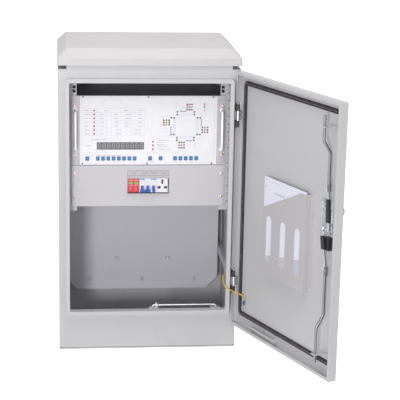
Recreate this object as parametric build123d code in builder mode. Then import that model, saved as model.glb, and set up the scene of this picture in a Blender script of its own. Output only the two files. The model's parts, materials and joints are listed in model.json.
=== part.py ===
from build123d import *
from math import atan2, cos, degrees, pi, radians, sin, sqrt, tan
import os

os.makedirs("parts", exist_ok=True)

# Millimetres. X runs across the cabinet, Y from front to back and Z up. The origin is the centre of the
# base, in the middle of the four anchor holes. The door is drawn in its own axes, described below, and
# is hung open at DOOR_ANGLE.

# Rack panels, which set the enclosure's width
RACK_PANEL_WIDTH = 482.6
RACK_SIDE_ROOM = 41.2

# Enclosure
BODY_WIDTH = RACK_PANEL_WIDTH + 2 * RACK_SIDE_ROOM
BODY_DEPTH = 394.0
BODY_HEIGHT = 910.0
BODY_SHEET = 2.0
BODY_BEND = 4.0
ANCHOR_SPACING_X = 440.0
ANCHOR_SPACING_Y = 280.0
ANCHOR_HOLE_RADIUS = 7.0
CABLE_ENTRY_WIDTH = 300.0
CABLE_ENTRY_DEPTH = 180.0
VENT_MARGIN = 47.5
VENT_WIDTH = BODY_WIDTH - 2 * VENT_MARGIN
VENT_DEPTH = 320.0

# Rolled lip round the door opening
LIP_SIDE_INSET = 21.5
LIP_TOP_INSET = 27.0
LIP_WIDTH = BODY_WIDTH - 2 * LIP_SIDE_INSET
LIP_BOTTOM = 121.3
LIP_TOP = BODY_HEIGHT - LIP_TOP_INSET
LIP_FACE = 12.5
LIP_REACH = 24.0
LIP_SHEET = 1.8
LIP_CORNER = 12.0
LIP_INNER_CORNER = 5.0

# Roof and the vent neck that carries it
NECK_HEIGHT = 12.0
NECK_INSET = 26.5
ROOF_SHEET = 2.0
ROOF_FRONT_EAVE = 6.0
ROOF_SIDE_EAVE = 2.0
ROOF_FASCIA = 23.0
ROOF_CORNER = 6.0
HIP_INSET = 28.0
HIP_RISE = 27.0
EAVE_FLANGE = 42.0

# Door
DOOR_SIDE_GAP = 0.5
DOOR_BOTTOM = 83.0
DOOR_TOP_DROP = 4.0
DOOR_TOP = BODY_HEIGHT - DOOR_TOP_DROP
DOOR_WIDTH = BODY_WIDTH - 2 * DOOR_SIDE_GAP
DOOR_PAN_DEPTH = 26.0
DOOR_SHEET = 2.0
DOOR_RETURN = 10.0
DOOR_CORNER = 2.5
DOOR_FACE_GAP = 6.0
DOOR_ANGLE = 113.7
GASKET_WIDTH = 12.0
GASKET_INSET = 25.5
GASKET_BOTTOM = 125.0
GASKET_TOP_INSET = 33.5
GASKET_TOP = DOOR_TOP - GASKET_TOP_INSET
GASKET_CORNER = 10.0
GASKET_SQUEEZE_GAP = 0.3

# Hinges
HINGE_INSET = 8.0
HINGE_DEPTH = 5.75
LOWER_HINGE_Z = 227.5
UPPER_HINGE_DROP = 138.0
HINGE_HEIGHTS = (LOWER_HINGE_Z, DOOR_TOP - UPPER_HINGE_DROP)
HINGE_BLOCK_WIDTH = 14.5
HINGE_BLOCK_OUTER = 5.5
HINGE_BLOCK_REACH = 20.0
HINGE_BLOCK_HEIGHT = 20.0
HINGE_LEAF_HEIGHT = 32.0
HINGE_PIN_RADIUS = 3.0
HINGE_KNUCKLE_RADIUS = 5.5
HINGE_LEAF_SHEET = 3.0
HINGE_LEAF_REACH = 16.5
HINGE_STUD_RISE = 9.0
HINGE_STUD_DEPTH = 16.4
HINGE_STUD_RADIUS = 2.5
HINGE_NUT_FLATS = 8.0
HINGE_NUT_HEIGHT = 4.0
HINGE_PIN_HEAD = 3.5
HINGE_PIN_TAIL = 3.0
HINGE_NOTCH_PLAY = 1.0

# Fits
RUNNING = 0.06
CLEARANCE = 0.3

# Rack
RACK_PANEL_FACE = 42.0
RACK_PANEL_SHEET = 3.0
RACK_TOP_DROP = 90.0
RACK_TOP = BODY_HEIGHT - RACK_TOP_DROP
CONTROLLER_HEIGHT = 221.5
DISTRIBUTION_HEIGHT = 132.5
RACK_PANEL_GAP = 1.5
RACK_SCREW_INSET = 8.7
RACK_SCREW_X = RACK_PANEL_WIDTH / 2 - RACK_SCREW_INSET
CONTROLLER_SCREW_DROPS = (32.0, 188.0)
DISTRIBUTION_SCREW_DROPS = (26.0, 102.0)
RACK_SCREW_RADIUS = 2.9
RACK_SCREW_HEAD_RADIUS = 5.6
RACK_SCREW_HEAD = 4.2
RACK_SCREW_HOLE_RADIUS = 3.2
RAIL_SCREW_INSET = 7.6
RAIL_WALL_GAP = 20.5
RAIL_INNER = RACK_SCREW_X - RAIL_SCREW_INSET
RAIL_OUTER = BODY_WIDTH / 2 - RAIL_WALL_GAP
RAIL_SHEET = 2.0
RAIL_WEB = 30.0
RAIL_FOOT_DROP = 370.0
RAIL_HEAD_RISE = 62.0
RAIL_BOTTOM = RACK_TOP - RAIL_FOOT_DROP
RAIL_TOP = RACK_TOP + RAIL_HEAD_RISE
RAIL_WEB_DROP = 20.0
RAIL_SQUARE = 9.5
RAIL_SQUARE_RISES = (14.0, 26.7, 42.6)
RAIL_PIERCING_INSET = 9.0
RAIL_PIERCING_X = RAIL_OUTER - RAIL_PIERCING_INSET
RAIL_PIERCING_RADIUS = 2.4
RAIL_PIERCING_PITCH = 25.0
RAIL_PIERCING_COUNT = 16
LOW_BAR_Z = 216.0
MIDDLE_BAR_DROP = 40.0
HIGH_BAR_DROP = 42.0
SIDE_BAR_BOTTOMS = (LOW_BAR_Z, RAIL_BOTTOM - MIDDLE_BAR_DROP, BODY_HEIGHT - HIGH_BAR_DROP)
SIDE_BAR_HEIGHT = 30.0
SIDE_BAR_SHEET = 2.0
SIDE_BAR_BACK_GAP = 4.0

# Mounting plate
PLATE_FACE = 330.0
PLATE_SHEET = 2.5
PLATE_SIDE_GAP = 22.5
PLATE_TOP_DROP = 20.0
PLATE_WIDTH = BODY_WIDTH - 2 * PLATE_SIDE_GAP
PLATE_BOTTOM = 93.0
PLATE_TOP = BODY_HEIGHT - PLATE_TOP_DROP
PLATE_CHAMFER = 40.0
PLATE_FIXING_XS = (-179.0, 0.0, 179.0)
PLATE_INNER_FIXING_XS = (-88.0, 88.0)
PLATE_FIXING_EDGE = 35.0
PLATE_INNER_FIXING_RISE = 108.0
PLATE_LOW_FIXINGS = [(x, PLATE_BOTTOM + PLATE_FIXING_EDGE) for x in PLATE_FIXING_XS] + [
    (x, PLATE_BOTTOM + PLATE_INNER_FIXING_RISE) for x in PLATE_INNER_FIXING_XS
]
PLATE_HIGH_FIXINGS = [(x, PLATE_TOP - PLATE_FIXING_EDGE) for x in PLATE_FIXING_XS]
STANDOFF_RADIUS = 7.0
PLATE_NUT_FLATS = 13.0
PLATE_NUT_HEIGHT = 6.5
PLATE_WASHER_RADIUS = 9.0
PLATE_WASHER = 1.6

# Controller front
CASE_SIDE_INSET = 26.3
CASE_WIDTH = RACK_PANEL_WIDTH - 2 * CASE_SIDE_INSET
CASE_DEPTH = 240.0
CASE_SHEET = 1.5
CASE_INSET = 3.0
OVERLAY_WIDTH = CASE_WIDTH
OVERLAY_LEFT = -OVERLAY_WIDTH / 2
CONTROLLER_BOTTOM = RACK_TOP - CONTROLLER_HEIGHT
OVERLAY_MARGIN = 1.5
OVERLAY_SHEET = 0.6
KEY_WIDTH = 12.0
KEY_HEIGHT = 13.5
KEY_CORNER = 1.5
KEY_RISE = 0.8
KEY_ROW_RISE = 21.2
KEY_Z = CONTROLLER_BOTTOM + KEY_ROW_RISE
FIRST_KEY_INSET = 23.0
DIGIT_KEY_INSET = 55.9
MIDDLE_KEY_XS = [5.4, 38.5]
PHASE_KEY_INSET = 130.5
KEY_PITCH = 16.5
PHASE_KEY_PITCH = 16.75
KEY_XS = (
    [OVERLAY_LEFT + FIRST_KEY_INSET]
    + [OVERLAY_LEFT + DIGIT_KEY_INSET + KEY_PITCH * number for number in range(8)]
    + MIDDLE_KEY_XS
    + [OVERLAY_WIDTH / 2 - PHASE_KEY_INSET + PHASE_KEY_PITCH * number for number in range(5)]
)
READOUT_INSET = 126.6
READOUT_RISE = 61.7
READOUT_CENTRE = (OVERLAY_LEFT + READOUT_INSET, CONTROLLER_BOTTOM + READOUT_RISE)
READOUT_SIZE = (148.0, 23.5)
READOUT_SHEET = 0.8
LAMP_RADIUS = 2.2
LAMP_RISE = 1.4
TABLE_LAMP_INSET = 44.3
TABLE_LAMP_DROP = 47.3
TABLE_LAMP_X = OVERLAY_LEFT + TABLE_LAMP_INSET
TABLE_LAMP_TOP = RACK_TOP - TABLE_LAMP_DROP
TABLE_LAMP_PITCH = 12.3
STATE_LAMP_X = 13.9
STATE_LAMP_RISE = 75.4
STATE_LAMP_TOP = CONTROLLER_BOTTOM + STATE_LAMP_RISE
STATE_LAMP_PITCH = 12.4
LAMP_PLACES = [(TABLE_LAMP_X, TABLE_LAMP_TOP - TABLE_LAMP_PITCH * number) for number in range(7)] + [
    (STATE_LAMP_X, STATE_LAMP_TOP - STATE_LAMP_PITCH * number) for number in range(3)
]
GRIP_INSET = 11.8
GRIP_HEAD_DROP = 46.0
GRIP_LENGTH = 126.0
GRIP_X = RACK_PANEL_WIDTH / 2 - GRIP_INSET
GRIP_HIGH = RACK_TOP - GRIP_HEAD_DROP
GRIP_LOW = GRIP_HIGH - GRIP_LENGTH
GRIP_RADIUS = 4.5
GRIP_REACH = 25.0
GRIP_BEND = 12.0
GRIP_COLLAR_RADIUS = 6.5
GRIP_COLLAR = 3.0

# Distribution panel and its devices
DISTRIBUTION_TOP = CONTROLLER_BOTTOM - RACK_PANEL_GAP
DISTRIBUTION_BOTTOM = DISTRIBUTION_TOP - DISTRIBUTION_HEIGHT
MODULE = 18.0
NOSE_HEIGHT = 45.0
NOSE_RISE = 68.0
NOSE_Z = DISTRIBUTION_BOTTOM + NOSE_RISE
NOSE_REACH = 5.0
SHOULDER_HEIGHT = 84.0
SHOULDER_DEPTH = 8.0
DEVICE_DEPTH = 58.0
DEVICE_ROW_LEFT = -64.0
DEVICE_GAP = 0.3
WINDOW_LEFT = -67.0
WINDOW_RIGHT = 66.0
WINDOW_HEIGHT = 51.0
WINDOW_BOTTOM = NOSE_Z - WINDOW_HEIGHT / 2
WINDOW_TOP = NOSE_Z + WINDOW_HEIGHT / 2
LABEL_GAP = 4.5
LABEL_HEIGHT = 18.5
LABEL_BOTTOM = WINDOW_TOP + LABEL_GAP
LABEL_TOP = LABEL_BOTTOM + LABEL_HEIGHT
LABEL_SHEET = 1.2
DIN_RAIL_HEIGHT = 35.0
DIN_RAIL_HAT = 27.0
DIN_RAIL_DEPTH = 7.5
DIN_RAIL_SHEET = 1.0
DIN_RAIL_LENGTH = 170.0
DIN_NOTCH = 4.0
DIN_BRACKET_RISE = 15.0
DIN_BRACKET_SHEET = 2.0
TOGGLE_PIVOT_DROP = 8.5
TOGGLE_PIVOT_DEPTH = 2.0
TOGGLE_BARREL_RADIUS = 8.0
TOGGLE_WIDTH = 8.2
TOGGLE_TIP = 17.0
TOGGLE_TIP_WIDTH = 5.0
TOGGLE_REST_DIP = 30.0
TOGGLE_ROOT_WIDTH = 10.0
TOGGLE_TAPER = 82.0
TOGGLE_TIE_WIDTH = 33.0

# Door lock and rods
SPINDLE_INSET = 57.0
SPINDLE_DROP = 374.0
SPINDLE_U = DOOR_WIDTH - SPINDLE_INSET
SPINDLE_Z = DOOR_TOP - SPINDLE_DROP
SPINDLE_RADIUS = 5.0
TENON_RADIUS = 3.0
SPINDLE_NUT_FLATS = 9.0
SPINDLE_NUT_HEIGHT = 3.5
SPINDLE_OVERRUN = 1.0
CAM_THROW = 16.0
CAM_WIDTH = 12.0
CAM_SHEET = 3.0
CAM_FRONT = 7.0
LINK_SHEET = 3.0
LINK_WIDTH = 11.0
PLATE_PLAY = 0.3
ROD_OFFSET = 6.0
ROD_U = SPINDLE_U + ROD_OFFSET
ROD_RADIUS = 4.25
ROD_DEPTH = 7.0
ROD_STANDOFF = 23.0
ROD_BEND = 16.0
UPPER_LINK_REACH = 115.0
LOWER_LINK_REACH = 118.0
UPPER_EYE_Z = SPINDLE_Z + UPPER_LINK_REACH
LOWER_EYE_Z = SPINDLE_Z - LOWER_LINK_REACH
ROD_END_DROP = 41.7
UPPER_ROD_END = DOOR_TOP - ROD_END_DROP
LOWER_ROD_END = 132.3
CRANK_RISE = 108.0
CRANK_LENGTH = 36.0
UPPER_CRANK = (UPPER_EYE_Z + CRANK_RISE, UPPER_EYE_Z + CRANK_RISE + CRANK_LENGTH)
LOWER_CRANK_Z = 236.0
LOWER_CRANK = (LOWER_CRANK_Z, LOWER_CRANK_Z + CRANK_LENGTH)
EYE_RADIUS = 7.5
EYE_NECK = 16.0
RIVET_RADIUS = 2.5
RIVET_HEAD_RADIUS = 4.2
RIVET_HEAD = 1.8
SLEEVE_WIDTH = 15.5
SLEEVE_WALL = 1.6
UPPER_SLEEVE_RISES = (20.0, 88.0)
LOWER_SLEEVE_RISES = (-64.0, -24.0)
UPPER_SLEEVE = [SPINDLE_Z + rise for rise in UPPER_SLEEVE_RISES]
LOWER_SLEEVE = [SPINDLE_Z + rise for rise in LOWER_SLEEVE_RISES]
LOWER_GUIDE_Z = 156.0
UPPER_GUIDE_DROP = 74.0
GUIDE_HEIGHTS = (LOWER_GUIDE_Z, DOOR_TOP - UPPER_GUIDE_DROP)
GUIDE_SHEET = 2.0
LOCK_FOOT_INSET = 44.0
LOCK_FOOT_WIDTH = 36.0
LOCK_FOOT_RIGHT = DOOR_WIDTH - LOCK_FOOT_INSET
LOCK_FOOT_LEFT = LOCK_FOOT_RIGHT - LOCK_FOOT_WIDTH
GUIDE_FOOT = (LOCK_FOOT_LEFT, LOCK_FOOT_RIGHT)
GUIDE_FLANGE = 18.0
GUIDE_TIP = 11.0
ARM_RISE = 78.0
ARM_TOP = SPINDLE_Z + ARM_RISE
ARM_WIDTH = 12.0
ARM_SHEET = 2.0
ARM_RIVET_RISES = (44.0, 59.0)
ARM_RIVET_HEIGHTS = [SPINDLE_Z + rise for rise in ARM_RIVET_RISES]
ARM_KNOB_RADIUS = 5.5
ARM_KNOB_REACH = 8.0
LOCK_PLATE_RISES = (-18.0, 80.0)
LOCK_PLATE = (LOCK_FOOT_LEFT, LOCK_FOOT_RIGHT, *[SPINDLE_Z + rise for rise in LOCK_PLATE_RISES])
LOCK_PLATE_SHEET = 2.5
LOCK_BOSS_RADIUS = 8.8
LOCK_BOSS_FRONT = 13.0
LOCK_CASE_WIDTH = 22.0
LOCK_CASE_INSET = 45.0
LOCK_CASE_RIGHT = DOOR_WIDTH - LOCK_CASE_INSET
LOCK_CASE_RISES = (-66.0, -27.0)
LOCK_CASE_LEFT = LOCK_CASE_RIGHT - LOCK_CASE_WIDTH
LOCK_CASE = (LOCK_CASE_LEFT, LOCK_CASE_RIGHT, *[SPINDLE_Z + rise for rise in LOCK_CASE_RISES])
LOCK_CASE_FRONT = 9.5
LEVER_RISE = 56.0
LEVER_TOP = SPINDLE_Z + LEVER_RISE
LEVER_WIDTH = 20.0
LEVER_HUB_RADIUS = 16.0
LEVER_HUB_HEIGHT = 12.0
LEVER_SHEET = 9.0
LEVER_FLARE = 22.0
ROSE_RADIUS = 21.0
ROSE_SHEET = 3.0

# Document pocket
POCKET_LEFT = 173.0
POCKET_RIGHT = 406.0
POCKET_BOTTOM = 308.0
POCKET_LOW_TOP = 515.0
POCKET_HIGH_TOP = 606.0
POCKET_SLOPE_END = 380.0
POCKET_DEPTH = 20.3
POCKET_SHEET = 1.2
POCKET_FLANGE = 14.0
POCKET_SLOT_WIDTH = 28.0
POCKET_SLOT_BOTTOM = 349.0
POCKET_SLOT_TOP = 494.0
POCKET_SLOT_CENTRE = 287.5
POCKET_SLOT_PITCH = 78.5
PAPER_WIDTH = 226.0
PAPER_TOP = 612.0
PAPER_THICKNESS = 5.0

# Door stay
STAY_RADIUS = 2.5
STAY_DEPTH = 9.0
STAY_Z = 142.5
STAY_PIVOT_INSET = 61.5
STAY_PIVOT_X = BODY_WIDTH / 2 - STAY_PIVOT_INSET
STAY_HOOK_X = 15.5
STAY_HOOK_DROP = 6.2
STAY_BEND = 5.0
STAY_SHELF_TOP = 136.0
STAY_SHELF_SHEET = 2.0
STAY_SHELF_DEPTH = 15.0
STAY_BRACKET_SPREAD = (-18.0, 13.0)
STAY_BRACKET = [STAY_PIVOT_X + spread for spread in STAY_BRACKET_SPREAD]
STAY_CLIP = (4.0, 35.0)
STAY_LEG_BOTTOM = 98.0
STAY_PIVOT_TAIL = 5.0
CATCH = (100.0, 252.0)
CATCH_FRONT = 10.0
CATCH_Z = 98.0
CATCH_SHEET = 1.6
CATCH_UPSTAND = 7.0
CATCH_END = 15.0

# Earth lead
LEAD_RADIUS = 2.2
LEAD_STUD_INSET = 17.6
LEAD_STUD_X = BODY_WIDTH / 2 - LEAD_STUD_INSET
LEAD_BODY_STEPS = (
    (0.0, 38.0, 264.0),
    (0.0, 24.0, 255.0),
    (-21.9, 4.0, 244.0),
    (-26.9, -14.0, 230.0),
    (-20.9, -35.0, 215.0),
    (-0.9, -40.0, 205.0),
)
LEAD_BODY_ROUTE = [(LEAD_STUD_X + across, depth, height) for across, depth, height in LEAD_BODY_STEPS]
LEAD_DOOR_ROUTE = ((40.0, 1.0, 196.0), (53.0, 19.0, 189.7), (53.0, 19.0, 167.5))
STUD_RADIUS = 3.0
STUD_NUT_FLATS = 10.0
STUD_NUT_HEIGHT = 5.0
STUD_OVERHANG = 2.5
LUG_RING_RADIUS = 6.0
LUG_SHEET = 1.2
LUG_REACH = 16.0
LUG_TONGUE = 6.0
LUG_SLEEVE_RADIUS = 3.4
LUG_SLEEVE_LENGTH = 11.0
LUG_GRIP = 4.0

FRONT = -BODY_DEPTH / 2
OPENING_WIDTH = LIP_WIDTH - 2 * LIP_FACE
OPENING_BOTTOM = LIP_BOTTOM + LIP_FACE
OPENING_TOP = LIP_TOP - LIP_FACE
NECK_TOP = BODY_HEIGHT + NECK_HEIGHT
ROOF_TOP = NECK_TOP + ROOF_FASCIA + HIP_RISE
RACK_PANEL_BACK = RACK_PANEL_FACE + RACK_PANEL_SHEET
RACK_SCREW_ZS = [RACK_TOP - drop for drop in CONTROLLER_SCREW_DROPS] + [
    DISTRIBUTION_TOP - drop for drop in DISTRIBUTION_SCREW_DROPS
]
DOOR_PANEL = DOOR_PAN_DEPTH - DOOR_SHEET
HINGE_X = BODY_WIDTH / 2 - DOOR_SIDE_GAP - HINGE_INSET
HINGE_Y = FRONT - DOOR_FACE_GAP - HINGE_DEPTH

# Door axes: X runs from the hinge edge to the free edge, Y from the inner edge of the pan outwards and
# Z up. DOOR_PLACE carries them to where the open door hangs.
DOOR_ALONG = Vector(-cos(radians(DOOR_ANGLE)), -sin(radians(DOOR_ANGLE)), 0)
DOOR_OUT = Vector(sin(radians(DOOR_ANGLE)), -cos(radians(DOOR_ANGLE)), 0)
DOOR_CORNER_POINT = Vector(HINGE_X, HINGE_Y, 0) - DOOR_ALONG * HINGE_INSET - DOOR_OUT * HINGE_DEPTH
DOOR_PLACE = Plane(origin=DOOR_CORNER_POINT, x_dir=DOOR_ALONG, z_dir=(0, 0, 1)).location


def behind(depth: float) -> Plane:
    """The upright plane this far behind the body's front face, drawn as seen from the front."""
    return Plane.XZ.offset(-FRONT - depth)


def door_face(depth: float) -> Plane:
    """The upright plane in the door's axes, this far out from the pan's inner edge, seen from inside."""
    return Plane.XZ.offset(-depth)


def finish(piece: Part, name: str) -> None:
    """Labels a finished piece and writes it to its own file."""
    piece.label = name
    export_step(piece, f"parts/{name}.step")


def hang(piece: Part, name: str) -> None:
    """Puts a piece drawn in the door's axes on the open door and writes it."""
    finish(DOOR_PLACE * piece, name)


# Body: a folded box with a floor and a top flange, and the opening with its rolled lip

with BuildPart() as cabinet_body:
    with BuildSketch():
        RectangleRounded(BODY_WIDTH, BODY_DEPTH, BODY_BEND)
    extrude(amount=BODY_HEIGHT)
    with BuildSketch(Plane.XY.offset(BODY_SHEET)):
        RectangleRounded(BODY_WIDTH - 2 * BODY_SHEET, BODY_DEPTH - 2 * BODY_SHEET, BODY_BEND - BODY_SHEET)
    extrude(amount=BODY_HEIGHT - 2 * BODY_SHEET, mode=Mode.SUBTRACT)
    with BuildSketch(Plane.XY.offset(BODY_HEIGHT)):
        with Locations((0, -NECK_INSET / 2)):
            Rectangle(VENT_WIDTH, VENT_DEPTH)
    extrude(amount=-BODY_SHEET, mode=Mode.SUBTRACT)
    with BuildSketch():
        RectangleRounded(CABLE_ENTRY_WIDTH, CABLE_ENTRY_DEPTH, BODY_BEND)
        with GridLocations(ANCHOR_SPACING_X, ANCHOR_SPACING_Y, 2, 2):
            Circle(ANCHOR_HOLE_RADIUS)
    extrude(amount=BODY_SHEET, mode=Mode.SUBTRACT)
    lip_centre = (0, (LIP_BOTTOM + LIP_TOP) / 2)
    lip_height = LIP_TOP - LIP_BOTTOM
    with BuildSketch(behind(-LIP_REACH)):
        with Locations(lip_centre):
            RectangleRounded(LIP_WIDTH, lip_height, LIP_CORNER)
    extrude(amount=-(LIP_REACH + BODY_SHEET))
    with BuildSketch(behind(LIP_SHEET - LIP_REACH)):
        with Locations(lip_centre):
            RectangleRounded(LIP_WIDTH - 2 * LIP_SHEET, lip_height - 2 * LIP_SHEET, LIP_CORNER - LIP_SHEET)
            RectangleRounded(
                OPENING_WIDTH + 2 * LIP_SHEET,
                lip_height - 2 * LIP_FACE + 2 * LIP_SHEET,
                LIP_INNER_CORNER + LIP_SHEET,
                mode=Mode.SUBTRACT,
            )
    extrude(amount=-(LIP_REACH + BODY_SHEET - LIP_SHEET), mode=Mode.SUBTRACT)
    with BuildSketch(behind(-LIP_REACH)):
        with Locations(lip_centre):
            RectangleRounded(OPENING_WIDTH, lip_height - 2 * LIP_FACE, LIP_INNER_CORNER)
    extrude(amount=-(LIP_REACH + BODY_SHEET), mode=Mode.SUBTRACT)
finish(cabinet_body.part, "cabinet_body")

# Vent neck: a ring flush with the front and set in at the sides and the back

neck_width = BODY_WIDTH - 2 * NECK_INSET
neck_depth = BODY_DEPTH - NECK_INSET
with BuildPart() as roof_neck:
    with BuildSketch(Plane.XY.offset(BODY_HEIGHT)):
        with Locations((0, -NECK_INSET / 2)):
            Rectangle(neck_width, neck_depth)
            Rectangle(neck_width - 2 * BODY_SHEET, neck_depth - 2 * BODY_SHEET, mode=Mode.SUBTRACT)
    extrude(amount=NECK_HEIGHT)
finish(roof_neck.part, "roof_neck")

# Roof: a hollow hipped cap with an eave flange that rests on the neck

roof_width = BODY_WIDTH + 2 * ROOF_SIDE_EAVE
roof_depth = BODY_DEPTH + 2 * ROOF_FRONT_EAVE
fascia_top = NECK_TOP + ROOF_FASCIA
hip_inner_inset = HIP_INSET - ROOF_SHEET * (HIP_INSET / HIP_RISE)
with BuildPart() as roof:
    with BuildSketch(Plane.XY.offset(NECK_TOP)):
        RectangleRounded(roof_width, roof_depth, ROOF_CORNER)
    extrude(amount=ROOF_FASCIA)
    with BuildSketch(Plane.XY.offset(fascia_top)):
        RectangleRounded(roof_width, roof_depth, ROOF_CORNER)
    with BuildSketch(Plane.XY.offset(ROOF_TOP)):
        RectangleRounded(roof_width - 2 * HIP_INSET, roof_depth - 2 * HIP_INSET, ROOF_CORNER)
    loft()
    inner_width = roof_width - 2 * ROOF_SHEET
    inner_depth = roof_depth - 2 * ROOF_SHEET
    inner_corner = ROOF_CORNER - ROOF_SHEET
    with BuildSketch(Plane.XY.offset(NECK_TOP + ROOF_SHEET)):
        RectangleRounded(inner_width, inner_depth, inner_corner)
    extrude(amount=ROOF_FASCIA - ROOF_SHEET, mode=Mode.SUBTRACT)
    with BuildSketch(Plane.XY.offset(fascia_top)):
        RectangleRounded(inner_width, inner_depth, inner_corner)
    with BuildSketch(Plane.XY.offset(ROOF_TOP - ROOF_SHEET)):
        RectangleRounded(inner_width - 2 * hip_inner_inset, inner_depth - 2 * hip_inner_inset, inner_corner)
    loft(mode=Mode.SUBTRACT)
    with BuildSketch(Plane.XY.offset(NECK_TOP)):
        Rectangle(roof_width - 2 * EAVE_FLANGE, roof_depth - 2 * EAVE_FLANGE)
    extrude(amount=ROOF_SHEET, mode=Mode.SUBTRACT)
finish(roof.part, "roof")

# Rack rails and the side bars that carry them

for side_name, side in (("left", -1), ("right", 1)):
    with BuildPart() as rack_rail:
        with BuildSketch(Plane.XY.offset(RAIL_BOTTOM)):
            with Locations((side * (RAIL_INNER + RAIL_OUTER) / 2, FRONT + RACK_PANEL_BACK)):
                Rectangle(RAIL_OUTER - RAIL_INNER, RAIL_SHEET, align=(Align.CENTER, Align.MIN))
        extrude(amount=RAIL_TOP - RAIL_BOTTOM)
        with BuildSketch(Plane.XY.offset(RAIL_BOTTOM - RAIL_WEB_DROP)):
            with Locations((side * (RAIL_OUTER - RAIL_SHEET / 2), FRONT + RACK_PANEL_BACK)):
                Rectangle(RAIL_SHEET, RAIL_WEB, align=(Align.CENTER, Align.MIN))
        extrude(amount=RAIL_TOP - RAIL_BOTTOM + RAIL_WEB_DROP)
        with BuildSketch(behind(RACK_PANEL_BACK)):
            with Locations([(side * RACK_SCREW_X, RACK_TOP + rise) for rise in RAIL_SQUARE_RISES]):
                Rectangle(RAIL_SQUARE, RAIL_SQUARE)
            with Locations([(side * RACK_SCREW_X, height) for height in RACK_SCREW_ZS]):
                Circle(RACK_SCREW_HOLE_RADIUS)
            with Locations((side * RAIL_PIERCING_X, (RAIL_BOTTOM + RAIL_TOP) / 2)):
                with GridLocations(RAIL_PIERCING_PITCH, RAIL_PIERCING_PITCH, 1, RAIL_PIERCING_COUNT):
                    Circle(RAIL_PIERCING_RADIUS)
        extrude(amount=-RAIL_SHEET, mode=Mode.SUBTRACT)
    finish(rack_rail.part, f"rack_rail_{side_name}")

wall = BODY_WIDTH / 2 - BODY_SHEET
bar_start = FRONT + RACK_PANEL_BACK
bar_length = BODY_DEPTH - RACK_PANEL_BACK - BODY_SHEET - SIDE_BAR_BACK_GAP
with BuildPart() as side_bars:
    for side in (-1, 1):
        for bottom in SIDE_BAR_BOTTOMS:
            with BuildSketch(Plane.XY.offset(bottom)):
                with Locations((side * (RAIL_OUTER + wall) / 2, bar_start)):
                    Rectangle(wall - RAIL_OUTER, bar_length, align=(Align.CENTER, Align.MIN))
            extrude(amount=SIDE_BAR_HEIGHT)
            with BuildSketch(Plane.XY.offset(bottom + SIDE_BAR_SHEET)):
                with Locations((side * (RAIL_OUTER + SIDE_BAR_SHEET + wall) / 2, bar_start)):
                    Rectangle(wall - RAIL_OUTER - SIDE_BAR_SHEET, bar_length, align=(Align.CENTER, Align.MIN))
            extrude(amount=SIDE_BAR_HEIGHT - 2 * SIDE_BAR_SHEET, mode=Mode.SUBTRACT)
finish(side_bars.part, "side_bars")

# Mounting plate, on standoffs from the back wall

plate_fixings = PLATE_LOW_FIXINGS + PLATE_HIGH_FIXINGS
with BuildPart() as mounting_plate:
    with BuildSketch(behind(PLATE_FACE)) as plate_outline:
        with Locations((0, (PLATE_BOTTOM + PLATE_TOP) / 2)):
            Rectangle(PLATE_WIDTH, PLATE_TOP - PLATE_BOTTOM)
        chamfer(plate_outline.vertices().group_by(Axis.Z)[0], PLATE_CHAMFER)
        with Locations(plate_fixings):
            Circle(STUD_RADIUS + CLEARANCE, mode=Mode.SUBTRACT)
    extrude(amount=-PLATE_SHEET)
finish(mounting_plate.part, "mounting_plate")

with BuildPart() as plate_standoffs:
    with BuildSketch(behind(PLATE_FACE + PLATE_SHEET)):
        with Locations(plate_fixings):
            Circle(STANDOFF_RADIUS)
    extrude(amount=-(BODY_DEPTH - BODY_SHEET - PLATE_FACE - PLATE_SHEET))
    with BuildSketch(behind(PLATE_FACE + PLATE_SHEET)):
        with Locations(plate_fixings):
            Circle(STUD_RADIUS)
    extrude(amount=PLATE_SHEET + PLATE_WASHER + PLATE_NUT_HEIGHT + 2)
finish(plate_standoffs.part, "plate_standoffs")

with BuildPart() as plate_nuts:
    with BuildSketch(behind(PLATE_FACE)):
        with Locations(plate_fixings):
            Circle(PLATE_WASHER_RADIUS)
            Circle(STUD_RADIUS + RUNNING, mode=Mode.SUBTRACT)
    extrude(amount=PLATE_WASHER)
    with BuildSketch(behind(PLATE_FACE - PLATE_WASHER)):
        with Locations(plate_fixings):
            RegularPolygon(PLATE_NUT_FLATS / 2, 6, major_radius=False)
            Circle(STUD_RADIUS + RUNNING, mode=Mode.SUBTRACT)
    extrude(amount=PLATE_NUT_HEIGHT)
finish(plate_nuts.part, "plate_nuts")

# Controller: a sheet case behind a front panel with an overlay, readout, lamps and two grips

controller_z = RACK_TOP - CONTROLLER_HEIGHT / 2
with BuildPart() as controller_case:
    with BuildSketch(behind(RACK_PANEL_BACK)):
        with Locations((0, controller_z)):
            Rectangle(CASE_WIDTH, CONTROLLER_HEIGHT - 2 * CASE_INSET)
    extrude(amount=-CASE_DEPTH)
    with BuildSketch(behind(RACK_PANEL_BACK)):
        with Locations((0, controller_z)):
            Rectangle(CASE_WIDTH - 2 * CASE_SHEET, CONTROLLER_HEIGHT - 2 * CASE_INSET - 2 * CASE_SHEET)
    extrude(amount=-(CASE_DEPTH - CASE_SHEET), mode=Mode.SUBTRACT)
finish(controller_case.part, "controller_case")

with BuildPart() as controller_panel:
    with BuildSketch(behind(RACK_PANEL_BACK)):
        with Locations((0, controller_z)):
            RectangleRounded(RACK_PANEL_WIDTH, CONTROLLER_HEIGHT, 1.0)
        with Locations([(side * RACK_SCREW_X, RACK_TOP - drop) for side in (-1, 1) for drop in CONTROLLER_SCREW_DROPS]):
            Circle(RACK_SCREW_HOLE_RADIUS, mode=Mode.SUBTRACT)
    extrude(amount=RACK_PANEL_SHEET)
finish(controller_panel.part, "controller_panel")

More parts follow.
